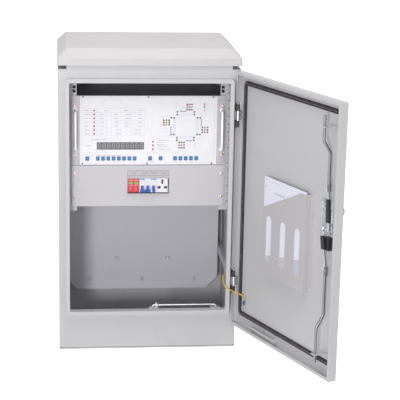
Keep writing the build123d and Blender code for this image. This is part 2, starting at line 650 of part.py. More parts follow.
with BuildPart() as controller_overlay:
    with BuildSketch(behind(RACK_PANEL_FACE)):
        with Locations((0, controller_z)):
            RectangleRounded(OVERLAY_WIDTH, CONTROLLER_HEIGHT - 2 * OVERLAY_MARGIN, 2.0)
    extrude(amount=OVERLAY_SHEET)
finish(controller_overlay.part, "controller_overlay")

overlay_face = RACK_PANEL_FACE - OVERLAY_SHEET
with BuildPart() as key_blisters:
    with BuildSketch(behind(overlay_face)):
        with Locations([(x, KEY_Z) for x in KEY_XS]):
            RectangleRounded(KEY_WIDTH, KEY_HEIGHT, KEY_CORNER)
    extrude(amount=KEY_RISE)
finish(key_blisters.part, "key_blisters")

with BuildPart() as readout_window:
    with BuildSketch(behind(overlay_face)):
        with Locations(READOUT_CENTRE):
            RectangleRounded(*READOUT_SIZE, 1.5)
    extrude(amount=READOUT_SHEET)
finish(readout_window.part, "readout_window")

with BuildPart() as status_lamps:
    with BuildSketch(behind(overlay_face)):
        with Locations(LAMP_PLACES):
            Circle(LAMP_RADIUS)
    extrude(amount=LAMP_RISE)
finish(status_lamps.part, "status_lamps")

with BuildPart() as controller_grips:
    for side in (-1, 1):
        with BuildLine(Plane.YZ.offset(side * GRIP_X)) as grip_path:
            FilletPolyline(
                (FRONT + RACK_PANEL_FACE, GRIP_LOW),
                (FRONT + RACK_PANEL_FACE - GRIP_REACH, GRIP_LOW),
                (FRONT + RACK_PANEL_FACE - GRIP_REACH, GRIP_HIGH),
                (FRONT + RACK_PANEL_FACE, GRIP_HIGH),
                radius=GRIP_BEND,
            )
        with BuildSketch(behind(RACK_PANEL_FACE)):
            with Locations((side * GRIP_X, GRIP_LOW)):
                Circle(GRIP_RADIUS)
        sweep(path=grip_path.wires()[0])
        with BuildSketch(behind(RACK_PANEL_FACE)):
            with Locations((side * GRIP_X, GRIP_LOW), (side * GRIP_X, GRIP_HIGH)):
                Circle(GRIP_COLLAR_RADIUS)
        extrude(amount=GRIP_COLLAR)
finish(controller_grips.part, "controller_grips")

# Screws that hold both panels to the rails

with BuildPart() as rack_screws:
    screw_places = [(side * RACK_SCREW_X, height) for side in (-1, 1) for height in RACK_SCREW_ZS]
    with BuildSketch(behind(RACK_PANEL_FACE)):
        with Locations(screw_places):
            Circle(RACK_SCREW_HEAD_RADIUS)
    extrude(amount=RACK_SCREW_HEAD)
    chamfer(rack_screws.faces().group_by(Axis.Y)[0].edges(), RACK_SCREW_HEAD / 3)
    with BuildSketch(behind(RACK_PANEL_FACE)):
        with Locations(screw_places):
            Circle(RACK_SCREW_RADIUS)
    extrude(amount=-(RACK_PANEL_SHEET + RAIL_SHEET + 6))
finish(rack_screws.part, "rack_screws")

# Distribution panel with a window for the rail-mounted devices

distribution_z = DISTRIBUTION_TOP - DISTRIBUTION_HEIGHT / 2
with BuildPart() as distribution_panel:
    with BuildSketch(behind(RACK_PANEL_BACK)):
        with Locations((0, distribution_z)):
            RectangleRounded(RACK_PANEL_WIDTH, DISTRIBUTION_HEIGHT, 1.0)
        with Locations(((WINDOW_LEFT + WINDOW_RIGHT) / 2, (WINDOW_BOTTOM + WINDOW_TOP) / 2)):
            Rectangle(WINDOW_RIGHT - WINDOW_LEFT, WINDOW_TOP - WINDOW_BOTTOM, mode=Mode.SUBTRACT)
        with Locations(
            [(side * RACK_SCREW_X, DISTRIBUTION_TOP - drop) for side in (-1, 1) for drop in DISTRIBUTION_SCREW_DROPS]
        ):
            Circle(RACK_SCREW_HOLE_RADIUS, mode=Mode.SUBTRACT)
    extrude(amount=RACK_PANEL_SHEET)
finish(distribution_panel.part, "distribution_panel")

with BuildPart() as label_holder:
    with BuildSketch(behind(RACK_PANEL_FACE)):
        with Locations(((WINDOW_LEFT + WINDOW_RIGHT) / 2, (LABEL_BOTTOM + LABEL_TOP) / 2)):
            RectangleRounded(WINDOW_RIGHT - WINDOW_LEFT, LABEL_TOP - LABEL_BOTTOM, 2.0)
    extrude(amount=LABEL_SHEET)
finish(label_holder.part, "label_holder")

# Depths of the devices, counted from the body's front face
nose_face = RACK_PANEL_FACE - NOSE_REACH
shoulder_face = RACK_PANEL_BACK + SHOULDER_DEPTH
device_back = nose_face + DEVICE_DEPTH
toggle_z = NOSE_Z - TOGGLE_PIVOT_DROP
toggle_y = FRONT + nose_face + TOGGLE_PIVOT_DEPTH
surge_x = DEVICE_ROW_LEFT + MODULE
twin_x = surge_x + 2 * MODULE
single_x = twin_x + MODULE * 1.5
socket_x = single_x + MODULE * 1.5
twin_poles = (twin_x - MODULE / 2, twin_x + MODULE / 2)


def device(centre: float, modules: int, poles: tuple) -> Part:
    """A rail-mounted device: a nose, shoulders and the rail notch, with a pocket for each toggle barrel."""
    width = modules * MODULE - DEVICE_GAP
    side_plane = Plane.YZ.offset(centre)
    with BuildPart() as body:
        with BuildSketch(side_plane):
            with Locations((FRONT + nose_face, NOSE_Z)):
                Rectangle(DEVICE_DEPTH, NOSE_HEIGHT, align=(Align.MIN, Align.CENTER))
            with Locations((FRONT + shoulder_face, NOSE_Z)):
                Rectangle(device_back - shoulder_face, SHOULDER_HEIGHT, align=(Align.MIN, Align.CENTER))
            with Locations((FRONT + device_back, NOSE_Z)):
                Rectangle(
                    DIN_NOTCH,
                    DIN_RAIL_HEIGHT + 2 * CLEARANCE,
                    align=(Align.MAX, Align.CENTER),
                    mode=Mode.SUBTRACT,
                )
        extrude(amount=width / 2, both=True)
        for pole in poles:
            with BuildSketch(Plane.YZ.offset(pole)):
                with Locations((toggle_y, toggle_z)):
                    Circle(TOGGLE_BARREL_RADIUS + CLEARANCE)
            extrude(amount=TOGGLE_WIDTH / 2 + CLEARANCE, both=True, mode=Mode.SUBTRACT)
    return body.part


def toggle(poles: tuple, tie: float) -> Part:
    """A breaker's handle: a barrel and a tapered tip for each pole, and the bar that ties the tips."""
    with BuildPart() as lever:
        for pole in poles:
            with BuildSketch(Plane.YZ.offset(pole)):
                with Locations((toggle_y, toggle_z)):
                    Circle(TOGGLE_BARREL_RADIUS)
                with Locations(Location((toggle_y, toggle_z), TOGGLE_REST_DIP)):
                    with Locations((-TOGGLE_TIP / 2, 0)):
                        Trapezoid(TOGGLE_ROOT_WIDTH, TOGGLE_TIP, TOGGLE_TAPER, rotation=90)
            extrude(amount=TOGGLE_WIDTH / 2, both=True)
        if tie:
            centre = sum(poles) / len(poles)
            with BuildSketch(Plane.YZ.offset(centre)):
                with Locations(Location((toggle_y, toggle_z), TOGGLE_REST_DIP)):
                    with Locations((-TOGGLE_TIP + TOGGLE_TIP_WIDTH / 2, 0)):
                        RectangleRounded(TOGGLE_TIP_WIDTH, TOGGLE_BARREL_RADIUS, 1.2)
            extrude(amount=tie / 2, both=True)
    return lever.part


surge_protector = device(surge_x, 2, ())
finish(surge_protector, "surge_protector")
breaker_twin = device(twin_x, 2, twin_poles)
finish(breaker_twin, "breaker_twin")
breaker_twin_toggle = toggle(twin_poles, TOGGLE_TIE_WIDTH)
finish(breaker_twin_toggle, "breaker_twin_toggle")
breaker_single = device(single_x, 1, (single_x,))
finish(breaker_single, "breaker_single")
breaker_single_toggle = toggle((single_x,), 0)
finish(breaker_single_toggle, "breaker_single_toggle")

with BuildPart() as socket_outlet:
    add(device(socket_x, 2, ()))
    with BuildSketch(behind(nose_face)):
        with Locations((socket_x, NOSE_Z + 13.0)):
            Rectangle(5.0, 9.0)
        with Locations((socket_x - 11.0, NOSE_Z - 8.0), (socket_x + 11.0, NOSE_Z - 8.0)):
            Rectangle(7.5, 5.0)
    extrude(amount=-3.0, mode=Mode.SUBTRACT)
finish(socket_outlet.part, "socket_outlet")

# Top-hat rail and its two brackets on the back of the panel

rail_front = device_back - DIN_NOTCH + CLEARANCE
with BuildPart() as din_rail:
    with BuildSketch(Plane.YZ):
        with Locations((FRONT + rail_front, NOSE_Z)):
            Rectangle(DIN_RAIL_SHEET, DIN_RAIL_HEIGHT, align=(Align.MIN, Align.CENTER))
            Rectangle(DIN_RAIL_DEPTH, DIN_RAIL_HAT, align=(Align.MIN, Align.CENTER))
            Rectangle(
                DIN_RAIL_DEPTH - DIN_RAIL_SHEET,
                DIN_RAIL_HAT - 2 * DIN_RAIL_SHEET,
                align=(Align.MIN, Align.CENTER),
                mode=Mode.SUBTRACT,
            )
    extrude(amount=DIN_RAIL_LENGTH / 2, both=True)
finish(din_rail.part, "din_rail")

with BuildPart() as din_rail_brackets:
    bracket_back = rail_front + DIN_RAIL_DEPTH
    for side in (-1, 1):
        bracket_x = side * (DIN_RAIL_LENGTH / 2 - 4.0)
        with BuildSketch(Plane.YZ.offset(bracket_x)):
            with Locations((FRONT + bracket_back, NOSE_Z)):
                bracket_height = DIN_RAIL_HEIGHT + 2 * DIN_BRACKET_RISE
                Rectangle(DIN_BRACKET_SHEET, bracket_height, align=(Align.MIN, Align.CENTER))
            for rise in (-1, 1):
                arm_z = NOSE_Z + rise * (bracket_height - DIN_BRACKET_SHEET) / 2
                arm_reach = bracket_back - RACK_PANEL_BACK + DIN_BRACKET_SHEET
                with Locations((FRONT + RACK_PANEL_BACK, arm_z)):
                    Rectangle(arm_reach, DIN_BRACKET_SHEET, align=(Align.MIN, Align.CENTER))
        extrude(amount=5.0, both=True)
finish(din_rail_brackets.part, "din_rail_brackets")

# Hinge blocks on the body, their pins, and the leaves on the door

block_rise = HINGE_LEAF_HEIGHT / 2 + HINGE_BLOCK_HEIGHT / 2
with BuildPart() as hinge_blocks:
    for height in HINGE_HEIGHTS:
        for rise in (-block_rise, block_rise):
            with BuildSketch(Plane.XY.offset(height + rise - HINGE_BLOCK_HEIGHT / 2)):
                with Locations((HINGE_X + HINGE_BLOCK_OUTER, FRONT)):
                    RectangleRounded(HINGE_BLOCK_WIDTH, 2 * HINGE_BLOCK_REACH, 3.0, align=(Align.MAX, Align.CENTER))
                with Locations((HINGE_X, FRONT)):
                    Rectangle(4 * HINGE_BLOCK_WIDTH, 2 * HINGE_BLOCK_REACH, align=(Align.CENTER, Align.MIN),
                              mode=Mode.SUBTRACT)
                with Locations((HINGE_X, HINGE_Y)):
                    Circle(HINGE_PIN_RADIUS + RUNNING, mode=Mode.SUBTRACT)
            extrude(amount=HINGE_BLOCK_HEIGHT)
finish(hinge_blocks.part, "hinge_blocks")

with BuildPart() as hinge_pins:
    for height in HINGE_HEIGHTS:
        pin_bottom = height - block_rise - HINGE_BLOCK_HEIGHT / 2 - HINGE_PIN_TAIL
        pin_top = height + block_rise + HINGE_BLOCK_HEIGHT / 2
        with BuildSketch(Plane.XY.offset(pin_bottom)):
            with Locations((HINGE_X, HINGE_Y)):
                Circle(HINGE_PIN_RADIUS)
        extrude(amount=pin_top - pin_bottom)
        with BuildSketch(Plane.XY.offset(pin_top)):
            with Locations((HINGE_X, HINGE_Y)):
                Circle(HINGE_PIN_RADIUS + 1.5)
        extrude(amount=HINGE_PIN_HEAD)
finish(hinge_pins.part, "hinge_pins")

leaf_height = HINGE_LEAF_HEIGHT - 2 * CLEARANCE
with BuildPart() as hinge_leaves:
    for height in HINGE_HEIGHTS:
        with BuildSketch(Plane.XY.offset(height - leaf_height / 2)):
            with Locations((HINGE_INSET, HINGE_DEPTH)):
                Circle(HINGE_KNUCKLE_RADIUS)
            with Locations((DOOR_SHEET, HINGE_DEPTH)):
                Rectangle(HINGE_LEAF_SHEET, HINGE_LEAF_REACH, align=(Align.MIN, Align.MIN))
            with Locations((HINGE_INSET, HINGE_DEPTH)):
                Circle(HINGE_PIN_RADIUS + RUNNING, mode=Mode.SUBTRACT)
        extrude(amount=leaf_height)
    stud_heights = [height + rise for height in HINGE_HEIGHTS for rise in (-HINGE_STUD_RISE, HINGE_STUD_RISE)]
    with BuildSketch(Plane.YZ.offset(DOOR_SHEET)):
        with Locations([(HINGE_STUD_DEPTH, height) for height in stud_heights]):
            Circle(HINGE_STUD_RADIUS + RUNNING)
    extrude(amount=HINGE_LEAF_SHEET, mode=Mode.SUBTRACT)
hang(hinge_leaves.part, "hinge_leaves")

with BuildPart() as hinge_nuts:
    with BuildSketch(Plane.YZ.offset(DOOR_SHEET)):
        with Locations([(HINGE_STUD_DEPTH, height) for height in stud_heights]):
            Circle(HINGE_STUD_RADIUS)
    extrude(amount=HINGE_LEAF_SHEET + HINGE_NUT_HEIGHT + 1.5)
    with BuildSketch(Plane.YZ.offset(DOOR_SHEET + HINGE_LEAF_SHEET)):
        with Locations([(HINGE_STUD_DEPTH, height) for height in stud_heights]):
            RegularPolygon(HINGE_NUT_FLATS / 2, 6, major_radius=False)
    extrude(amount=HINGE_NUT_HEIGHT)
hang(hinge_nuts.part, "hinge_nuts")

# Door pan: a folded sheet with inward returns, notched for the hinge blocks

door_mid_z = (DOOR_BOTTOM + DOOR_TOP) / 2
door_height = DOOR_TOP - DOOR_BOTTOM
with BuildPart() as door_pan:
    with BuildSketch(door_face(DOOR_PAN_DEPTH)):
        with Locations((DOOR_WIDTH / 2, door_mid_z)):
            RectangleRounded(DOOR_WIDTH, door_height, DOOR_CORNER)
    extrude(amount=DOOR_PAN_DEPTH)
    with BuildSketch(door_face(DOOR_PANEL)):
        with Locations((DOOR_WIDTH / 2, door_mid_z)):
            Rectangle(DOOR_WIDTH - 2 * DOOR_SHEET, door_height - 2 * DOOR_SHEET)
    extrude(amount=DOOR_PANEL - DOOR_SHEET, mode=Mode.SUBTRACT)
    with BuildSketch(door_face(DOOR_SHEET)):
        with Locations((DOOR_WIDTH / 2, door_mid_z)):
            Rectangle(DOOR_WIDTH - 2 * DOOR_RETURN, door_height - 2 * DOOR_RETURN)
    extrude(amount=DOOR_SHEET, mode=Mode.SUBTRACT)
    # The block's corners sweep circles round the pin as the door turns, and each notch clears them and
    # the pin's end
    block_sweep = sqrt(HINGE_BLOCK_OUTER**2 + (HINGE_DEPTH + DOOR_FACE_GAP) ** 2)
    notch_depth = HINGE_DEPTH + block_sweep
    notch_height = HINGE_BLOCK_HEIGHT + HINGE_PIN_HEAD + 2 * HINGE_NOTCH_PLAY
    notch_rise = block_rise + HINGE_PIN_HEAD / 2
    for height in HINGE_HEIGHTS:
        for side in (-1, 1):
            with BuildSketch(Plane.XY.offset(height + side * notch_rise - notch_height / 2)):
                Rectangle(2 * (DOOR_RETURN + HINGE_NOTCH_PLAY), 3 * DOOR_SHEET)
                Rectangle(3 * DOOR_SHEET, 2 * notch_depth)
            extrude(amount=notch_height, mode=Mode.SUBTRACT)
        with BuildSketch(Plane.XY.offset(height - HINGE_LEAF_HEIGHT / 2)):
            with Locations((DOOR_SHEET, 0)):
                Rectangle(DOOR_RETURN, 2 * DOOR_SHEET + 1.0, align=(Align.MIN, Align.CENTER))
        extrude(amount=HINGE_LEAF_HEIGHT, mode=Mode.SUBTRACT)
    with BuildSketch(door_face(DOOR_PAN_DEPTH)):
        with Locations((SPINDLE_U, SPINDLE_Z)):
            Circle(SPINDLE_RADIUS + CLEARANCE)
    extrude(amount=DOOR_SHEET, mode=Mode.SUBTRACT)
hang(door_pan.part, "door_pan")

# Gasket: a foam strip on the panel, which meets the rolled lip when the door is shut

gasket_depth = DOOR_FACE_GAP + DOOR_PANEL - LIP_REACH - GASKET_SQUEEZE_GAP
with BuildPart() as door_gasket:
    with BuildSketch(door_face(DOOR_PANEL)):
        with Locations((DOOR_WIDTH / 2, (GASKET_BOTTOM + GASKET_TOP) / 2)):
            RectangleRounded(
                DOOR_WIDTH - 2 * GASKET_INSET + GASKET_WIDTH,
                GASKET_TOP - GASKET_BOTTOM + GASKET_WIDTH,
                GASKET_CORNER + GASKET_WIDTH / 2,
            )
            RectangleRounded(
                DOOR_WIDTH - 2 * GASKET_INSET - GASKET_WIDTH,
                GASKET_TOP - GASKET_BOTTOM - GASKET_WIDTH,
                GASKET_CORNER - GASKET_WIDTH / 2,
                mode=Mode.SUBTRACT,
            )
    extrude(amount=gasket_depth)
    chamfer(door_gasket.faces().sort_by(Axis.Y)[0].edges(), gasket_depth / 3)
hang(door_gasket.part, "door_gasket")

# Lock: base plate with the spindle bearing, case, cam, release arm and outer lever

with BuildPart() as lock_plate:
    left, right, bottom, top = LOCK_PLATE
    with BuildSketch(door_face(DOOR_PANEL)):
        with Locations(((left + right) / 2, (bottom + top) / 2)):
            RectangleRounded(right - left, top - bottom, 3.0)
    extrude(amount=LOCK_PLATE_SHEET)
    with BuildSketch(door_face(DOOR_PANEL)):
        with Locations((SPINDLE_U, SPINDLE_Z)):
            Circle(LOCK_BOSS_RADIUS)
    extrude(amount=DOOR_PANEL - LOCK_BOSS_FRONT)
    with BuildSketch(door_face(DOOR_PANEL)):
        with Locations((SPINDLE_U, SPINDLE_Z)):
            Circle(SPINDLE_RADIUS + RUNNING)
    extrude(amount=DOOR_PANEL - LOCK_BOSS_FRONT, mode=Mode.SUBTRACT)
hang(lock_plate.part, "lock_plate")

with BuildPart() as lock_case:
    left, right, bottom, top = LOCK_CASE
    with BuildSketch(door_face(DOOR_PANEL)):
        with Locations(((left + right) / 2, (bottom + top) / 2)):
            RectangleRounded(right - left, top - bottom, 2.0)
    extrude(amount=DOOR_PANEL - LOCK_CASE_FRONT)
    fillet(lock_case.faces().sort_by(Axis.Y)[0].edges(), 1.5)
hang(lock_case.part, "lock_case")

cam_back = CAM_FRONT + CAM_SHEET
spindle_front = CAM_FRONT - SPINDLE_NUT_HEIGHT - SPINDLE_OVERRUN
with BuildPart() as lock_cam:
    with BuildSketch(door_face(cam_back)):
        with Locations((SPINDLE_U, SPINDLE_Z)):
            SlotCenterToCenter(2 * CAM_THROW, CAM_WIDTH)
            Circle(SPINDLE_RADIUS + 4.0)
            Circle(TENON_RADIUS + RUNNING, mode=Mode.SUBTRACT)
    extrude(amount=CAM_SHEET)
hang(lock_cam.part, "lock_cam")

with BuildPart() as spindle_nut:
    with BuildSketch(door_face(CAM_FRONT)):
        with Locations((SPINDLE_U, SPINDLE_Z)):
            RegularPolygon(SPINDLE_NUT_FLATS / 2, 6, major_radius=False)
            Circle(TENON_RADIUS + RUNNING, mode=Mode.SUBTRACT)
    extrude(amount=SPINDLE_NUT_HEIGHT)
hang(spindle_nut.part, "spindle_nut")

arm_u = SPINDLE_U - CAM_THROW
with BuildPart() as release_arm:
    with BuildSketch(door_face(cam_back + ARM_SHEET)):
        with Locations((arm_u, (SPINDLE_Z + ARM_TOP) / 2)):
            SlotCenterToCenter(ARM_TOP - SPINDLE_Z, ARM_WIDTH, rotation=90)
    extrude(amount=ARM_SHEET)
    with BuildSketch(door_face(cam_back)):
        with Locations((arm_u, ARM_TOP)):
            Circle(ARM_KNOB_RADIUS)
    extrude(amount=ARM_KNOB_REACH)
    fillet(release_arm.faces().sort_by(Axis.Y)[0].edges(), 1.2)
    with BuildSketch(door_face(cam_back)):
        with Locations([(arm_u, height) for height in ARM_RIVET_HEIGHTS]):
            Circle(RIVET_HEAD_RADIUS)
    extrude(amount=RIVET_HEAD)
hang(release_arm.part, "release_arm")

with BuildPart() as handle_rose:
    with BuildSketch(door_face(DOOR_PAN_DEPTH + ROSE_SHEET)):
        with Locations((SPINDLE_U, SPINDLE_Z)):
            Circle(ROSE_RADIUS)
            Circle(SPINDLE_RADIUS + RUNNING, mode=Mode.SUBTRACT)
    extrude(amount=ROSE_SHEET)
    chamfer(handle_rose.faces().sort_by(Axis.Y)[-1].edges().sort_by(SortBy.LENGTH)[-1], 1.0)
hang(handle_rose.part, "handle_rose")

hub_inner = DOOR_PAN_DEPTH + ROSE_SHEET + CLEARANCE
hub_outer = hub_inner + LEVER_HUB_HEIGHT
with BuildPart() as door_lever:
    with BuildSketch(door_face(hub_outer)):
        with Locations((SPINDLE_U, SPINDLE_Z)):
            Circle(LEVER_HUB_RADIUS)
    extrude(amount=LEVER_HUB_HEIGHT)
    with BuildSketch(Plane.YZ.offset(SPINDLE_U)):
        with BuildLine():
            lever_line = Polyline(
                (hub_outer - LEVER_SHEET, SPINDLE_Z),
                (hub_outer - LEVER_SHEET, SPINDLE_Z + LEVER_HUB_RADIUS),
                (hub_outer - LEVER_SHEET + LEVER_FLARE, LEVER_TOP - 14.0),
                (hub_outer - LEVER_SHEET + LEVER_FLARE, LEVER_TOP),
                (hub_outer + LEVER_FLARE, LEVER_TOP),
                (hub_outer + LEVER_FLARE, LEVER_TOP - 18.0),
                (hub_outer, SPINDLE_Z + LEVER_HUB_RADIUS - 5.0),
                (hub_outer, SPINDLE_Z),
                close=True,
            )
        make_face()
    extrude(amount=LEVER_WIDTH / 2, both=True)
    fillet(door_lever.edges().filter_by(Axis.Y).sort_by(Axis.Z)[-2:], LEVER_WIDTH / 2 - 2.0)
    with BuildSketch(door_face(hub_inner + 1.0)):
        with Locations((SPINDLE_U, SPINDLE_Z)):
            Circle(SPINDLE_RADIUS)
    extrude(amount=hub_inner + 1.0 - cam_back - RUNNING)
    with BuildSketch(door_face(cam_back + 1.0)):
        with Locations((SPINDLE_U, SPINDLE_Z)):
            Circle(TENON_RADIUS)
    extrude(amount=cam_back + 1.0 - spindle_front)
hang(door_lever.part, "door_lever")

# Rods with their cranks, eyes and rivets, and the links that join them to the cam

link_front = CAM_FRONT - PLATE_PLAY - LINK_SHEET
link_back = CAM_FRONT - PLATE_PLAY


def rod(eye: float, crank: tuple, end: float) -> Part:
    """A lock rod from its flattened eye, through the crank that sets it in from the door, to its end."""
    away = 1 if end > eye else -1
    near, far = (crank if away > 0 else crank[::-1])
    with BuildPart() as bar:
        with BuildLine(Plane.YZ.offset(ROD_U)) as run:
            FilletPolyline(
                (ROD_DEPTH, eye + away * EYE_NECK),
                (ROD_DEPTH, near),
                (ROD_DEPTH - ROD_STANDOFF, far),
                (ROD_DEPTH - ROD_STANDOFF, end),
                radius=ROD_BEND,
            )
        with BuildSketch(Plane.XY.offset(eye + away * EYE_NECK)):
            with Locations((ROD_U, ROD_DEPTH)):
                Circle(ROD_RADIUS)
        sweep(path=run.wires()[0])
        with BuildSketch(door_face(cam_back)):
            with Locations((ROD_U, eye)):
                Circle(EYE_RADIUS)
            with Locations((ROD_U, eye + away * (EYE_NECK + 5.0) / 2)):
                Rectangle(2 * EYE_RADIUS, EYE_NECK + 5.0)
        extrude(amount=CAM_SHEET)
        with BuildSketch(door_face(cam_back)):
            with Locations((ROD_U, eye)):
                Circle(RIVET_RADIUS)
        extrude(amount=cam_back - link_front + CLEARANCE)
        with BuildSketch(door_face(link_front - CLEARANCE)):
            with Locations((ROD_U, eye)):
                Circle(RIVET_HEAD_RADIUS)
        extrude(amount=RIVET_HEAD)
    return bar.part


def link(eye: float, pin_u: float) -> Part:
    """A flat link from the rod's eye to the cam, with the rivet that faces the cam."""
    length = sqrt((pin_u - ROD_U) ** 2 + (eye - SPINDLE_Z) ** 2)
    middle = ((pin_u + ROD_U) / 2, (eye + SPINDLE_Z) / 2)
    turn = degrees(atan2(eye - SPINDLE_Z, ROD_U - pin_u))
    with BuildPart() as strap:
        with BuildSketch(door_face(link_back)):
            with Locations(Location(middle, turn)):
                SlotCenterToCenter(length, LINK_WIDTH)
            with Locations((ROD_U, eye)):
                Circle(RIVET_RADIUS + RUNNING, mode=Mode.SUBTRACT)
        extrude(amount=LINK_SHEET)
        with BuildSketch(door_face(link_front)):
            with Locations((pin_u, SPINDLE_Z)):
                Circle(RIVET_HEAD_RADIUS)
        extrude(amount=RIVET_HEAD)
    return strap.part


def sleeve(eye: float, pin_u: float, span: tuple) -> Part:
    """The guide sleeve slipped over a link, open at both ends."""
    low, high = span
    middle_z = (low + high) / 2
    lean = (pin_u - ROD_U) / (SPINDLE_Z - eye)
    middle_u = ROD_U + lean * (middle_z - eye)
    turn = degrees(atan2(1, lean))
    depth = LINK_SHEET + 2 * CLEARANCE
    with BuildPart() as cover:
        with BuildSketch(door_face(link_back + CLEARANCE + SLEEVE_WALL)):
            with Locations(Location((middle_u, middle_z), turn)):
                RectangleRounded(high - low, SLEEVE_WIDTH, 1.5)
        extrude(amount=depth + 2 * SLEEVE_WALL)
        with BuildSketch(door_face(link_back + CLEARANCE)):
            with Locations(Location((middle_u, middle_z), turn)):
                Rectangle(2 * (high - low), LINK_WIDTH + 2 * CLEARANCE)
        extrude(amount=depth, mode=Mode.SUBTRACT)
    return cover.part


upper_pin_u = SPINDLE_U + CAM_THROW
lower_pin_u = SPINDLE_U - CAM_THROW
hang(rod(UPPER_EYE_Z, UPPER_CRANK, UPPER_ROD_END), "upper_rod")
hang(rod(LOWER_EYE_Z, LOWER_CRANK, LOWER_ROD_END), "lower_rod")
hang(link(UPPER_EYE_Z, upper_pin_u), "upper_link")
hang(link(LOWER_EYE_Z, lower_pin_u), "lower_link")
hang(sleeve(UPPER_EYE_Z, upper_pin_u, UPPER_SLEEVE), "upper_link_sleeve")
hang(sleeve(LOWER_EYE_Z, lower_pin_u, LOWER_SLEEVE), "lower_link_sleeve")

# Rod guides: folded brackets that carry each rod well inside the door

guide_depth = ROD_DEPTH - ROD_STANDOFF
with BuildPart() as rod_guides:
    for height in GUIDE_HEIGHTS:
        with BuildSketch(Plane.XY.offset(height - GUIDE_SHEET / 2)):
            with BuildLine():
                Polyline(
                    (GUIDE_FOOT[0], DOOR_PANEL),
                    (GUIDE_FOOT[1], DOOR_PANEL),
                    (ROD_U + GUIDE_TIP, guide_depth + GUIDE_TIP / 2),
                    (ROD_U + GUIDE_TIP, guide_depth - GUIDE_TIP + 2.0),
                    (ROD_U - GUIDE_TIP, guide_depth - GUIDE_TIP + 2.0),
                    (ROD_U - GUIDE_TIP, guide_depth + GUIDE_TIP / 2),
                    close=True,
                )
            make_face()
            with Locations((ROD_U, guide_depth)):
                Circle(ROD_RADIUS + CLEARANCE, mode=Mode.SUBTRACT)
        extrude(amount=GUIDE_SHEET)
        with BuildSketch(door_face(DOOR_PANEL)):
            with Locations(((GUIDE_FOOT[0] + GUIDE_FOOT[1]) / 2, height + GUIDE_SHEET / 2)):
                Rectangle(GUIDE_FOOT[1] - GUIDE_FOOT[0], GUIDE_FLANGE, align=(Align.CENTER, Align.MAX))
        extrude(amount=GUIDE_SHEET)
hang(rod_guides.part, "rod_guides")

# Document pocket, its rivets and the papers in it

pocket_face = DOOR_PANEL - POCKET_DEPTH
with BuildPart() as document_pocket:
    with BuildSketch(door_face(DOOR_PANEL)):
        with BuildLine():
            Polyline(
                (POCKET_LEFT, POCKET_BOTTOM),
                (POCKET_RIGHT, POCKET_BOTTOM),
                (POCKET_RIGHT, POCKET_HIGH_TOP),
                (POCKET_SLOPE_END, POCKET_HIGH_TOP),
                (POCKET_LEFT, POCKET_LOW_TOP),
                close=True,
            )
        make_face()
    extrude(amount=POCKET_DEPTH)
    with BuildSketch(door_face(DOOR_PANEL)):
        with Locations((POCKET_LEFT + POCKET_SHEET, POCKET_BOTTOM + POCKET_SHEET)):
            Rectangle(
                POCKET_RIGHT - POCKET_LEFT - 2 * POCKET_SHEET,
                POCKET_HIGH_TOP - POCKET_BOTTOM + 10.0,
                align=(Align.MIN, Align.MIN),
            )
    extrude(amount=POCKET_DEPTH - POCKET_SHEET, mode=Mode.SUBTRACT)
    slot_mid = (POCKET_SLOT_BOTTOM + POCKET_SLOT_TOP) / 2
    slot_length = POCKET_SLOT_TOP - POCKET_SLOT_BOTTOM
    with BuildSketch(door_face(pocket_face + POCKET_SHEET)):
        with Locations((POCKET_SLOT_CENTRE, slot_mid)):
            with GridLocations(POCKET_SLOT_PITCH, POCKET_SLOT_PITCH, 3, 1):
                SlotOverall(slot_length, POCKET_SLOT_WIDTH, rotation=90)
    extrude(amount=POCKET_SHEET, mode=Mode.SUBTRACT)
    with BuildSketch(door_face(DOOR_PANEL)):
        with Locations((POCKET_RIGHT, POCKET_BOTTOM)):
            Rectangle(POCKET_FLANGE, POCKET_HIGH_TOP - POCKET_BOTTOM, align=(Align.MIN, Align.MIN))
        with Locations((POCKET_LEFT, POCKET_BOTTOM)):
            Rectangle(POCKET_FLANGE, POCKET_LOW_TOP - POCKET_BOTTOM, align=(Align.MAX, Align.MIN))
    extrude(amount=POCKET_SHEET)
hang(document_pocket.part, "document_pocket")

with BuildPart() as pocket_rivets:
    rivet_inset = 11.0
    right_u = POCKET_RIGHT + POCKET_FLANGE / 2
    left_u = POCKET_LEFT - POCKET_FLANGE / 2
    with BuildSketch(door_face(DOOR_PANEL - POCKET_SHEET)):
        with Locations(
            (right_u, POCKET_BOTTOM + rivet_inset),
            (right_u, POCKET_HIGH_TOP - rivet_inset),
            (left_u, POCKET_BOTTOM + rivet_inset),
            (left_u, POCKET_LOW_TOP - rivet_inset),
        ):
            Circle(RIVET_HEAD_RADIUS)
    extrude(amount=RIVET_HEAD)
hang(pocket_rivets.part, "pocket_rivets")

with BuildPart() as paper_stack:
    paper_back = pocket_face + POCKET_SHEET + CLEARANCE + PAPER_THICKNESS
    with BuildSketch(door_face(paper_back)):
        with Locations(((POCKET_LEFT + POCKET_RIGHT) / 2, POCKET_BOTTOM + POCKET_SHEET)):
            Rectangle(
                PAPER_WIDTH,
                PAPER_TOP - POCKET_BOTTOM - POCKET_SHEET,
                align=(Align.CENTER, Align.MIN),
            )
    extrude(amount=PAPER_THICKNESS)
hang(paper_stack.part, "paper_stack")

# Door stay: a hooked rod that turns in a bracket behind the front sheet, the clip that parks it and
# the catch on the door that takes its hook

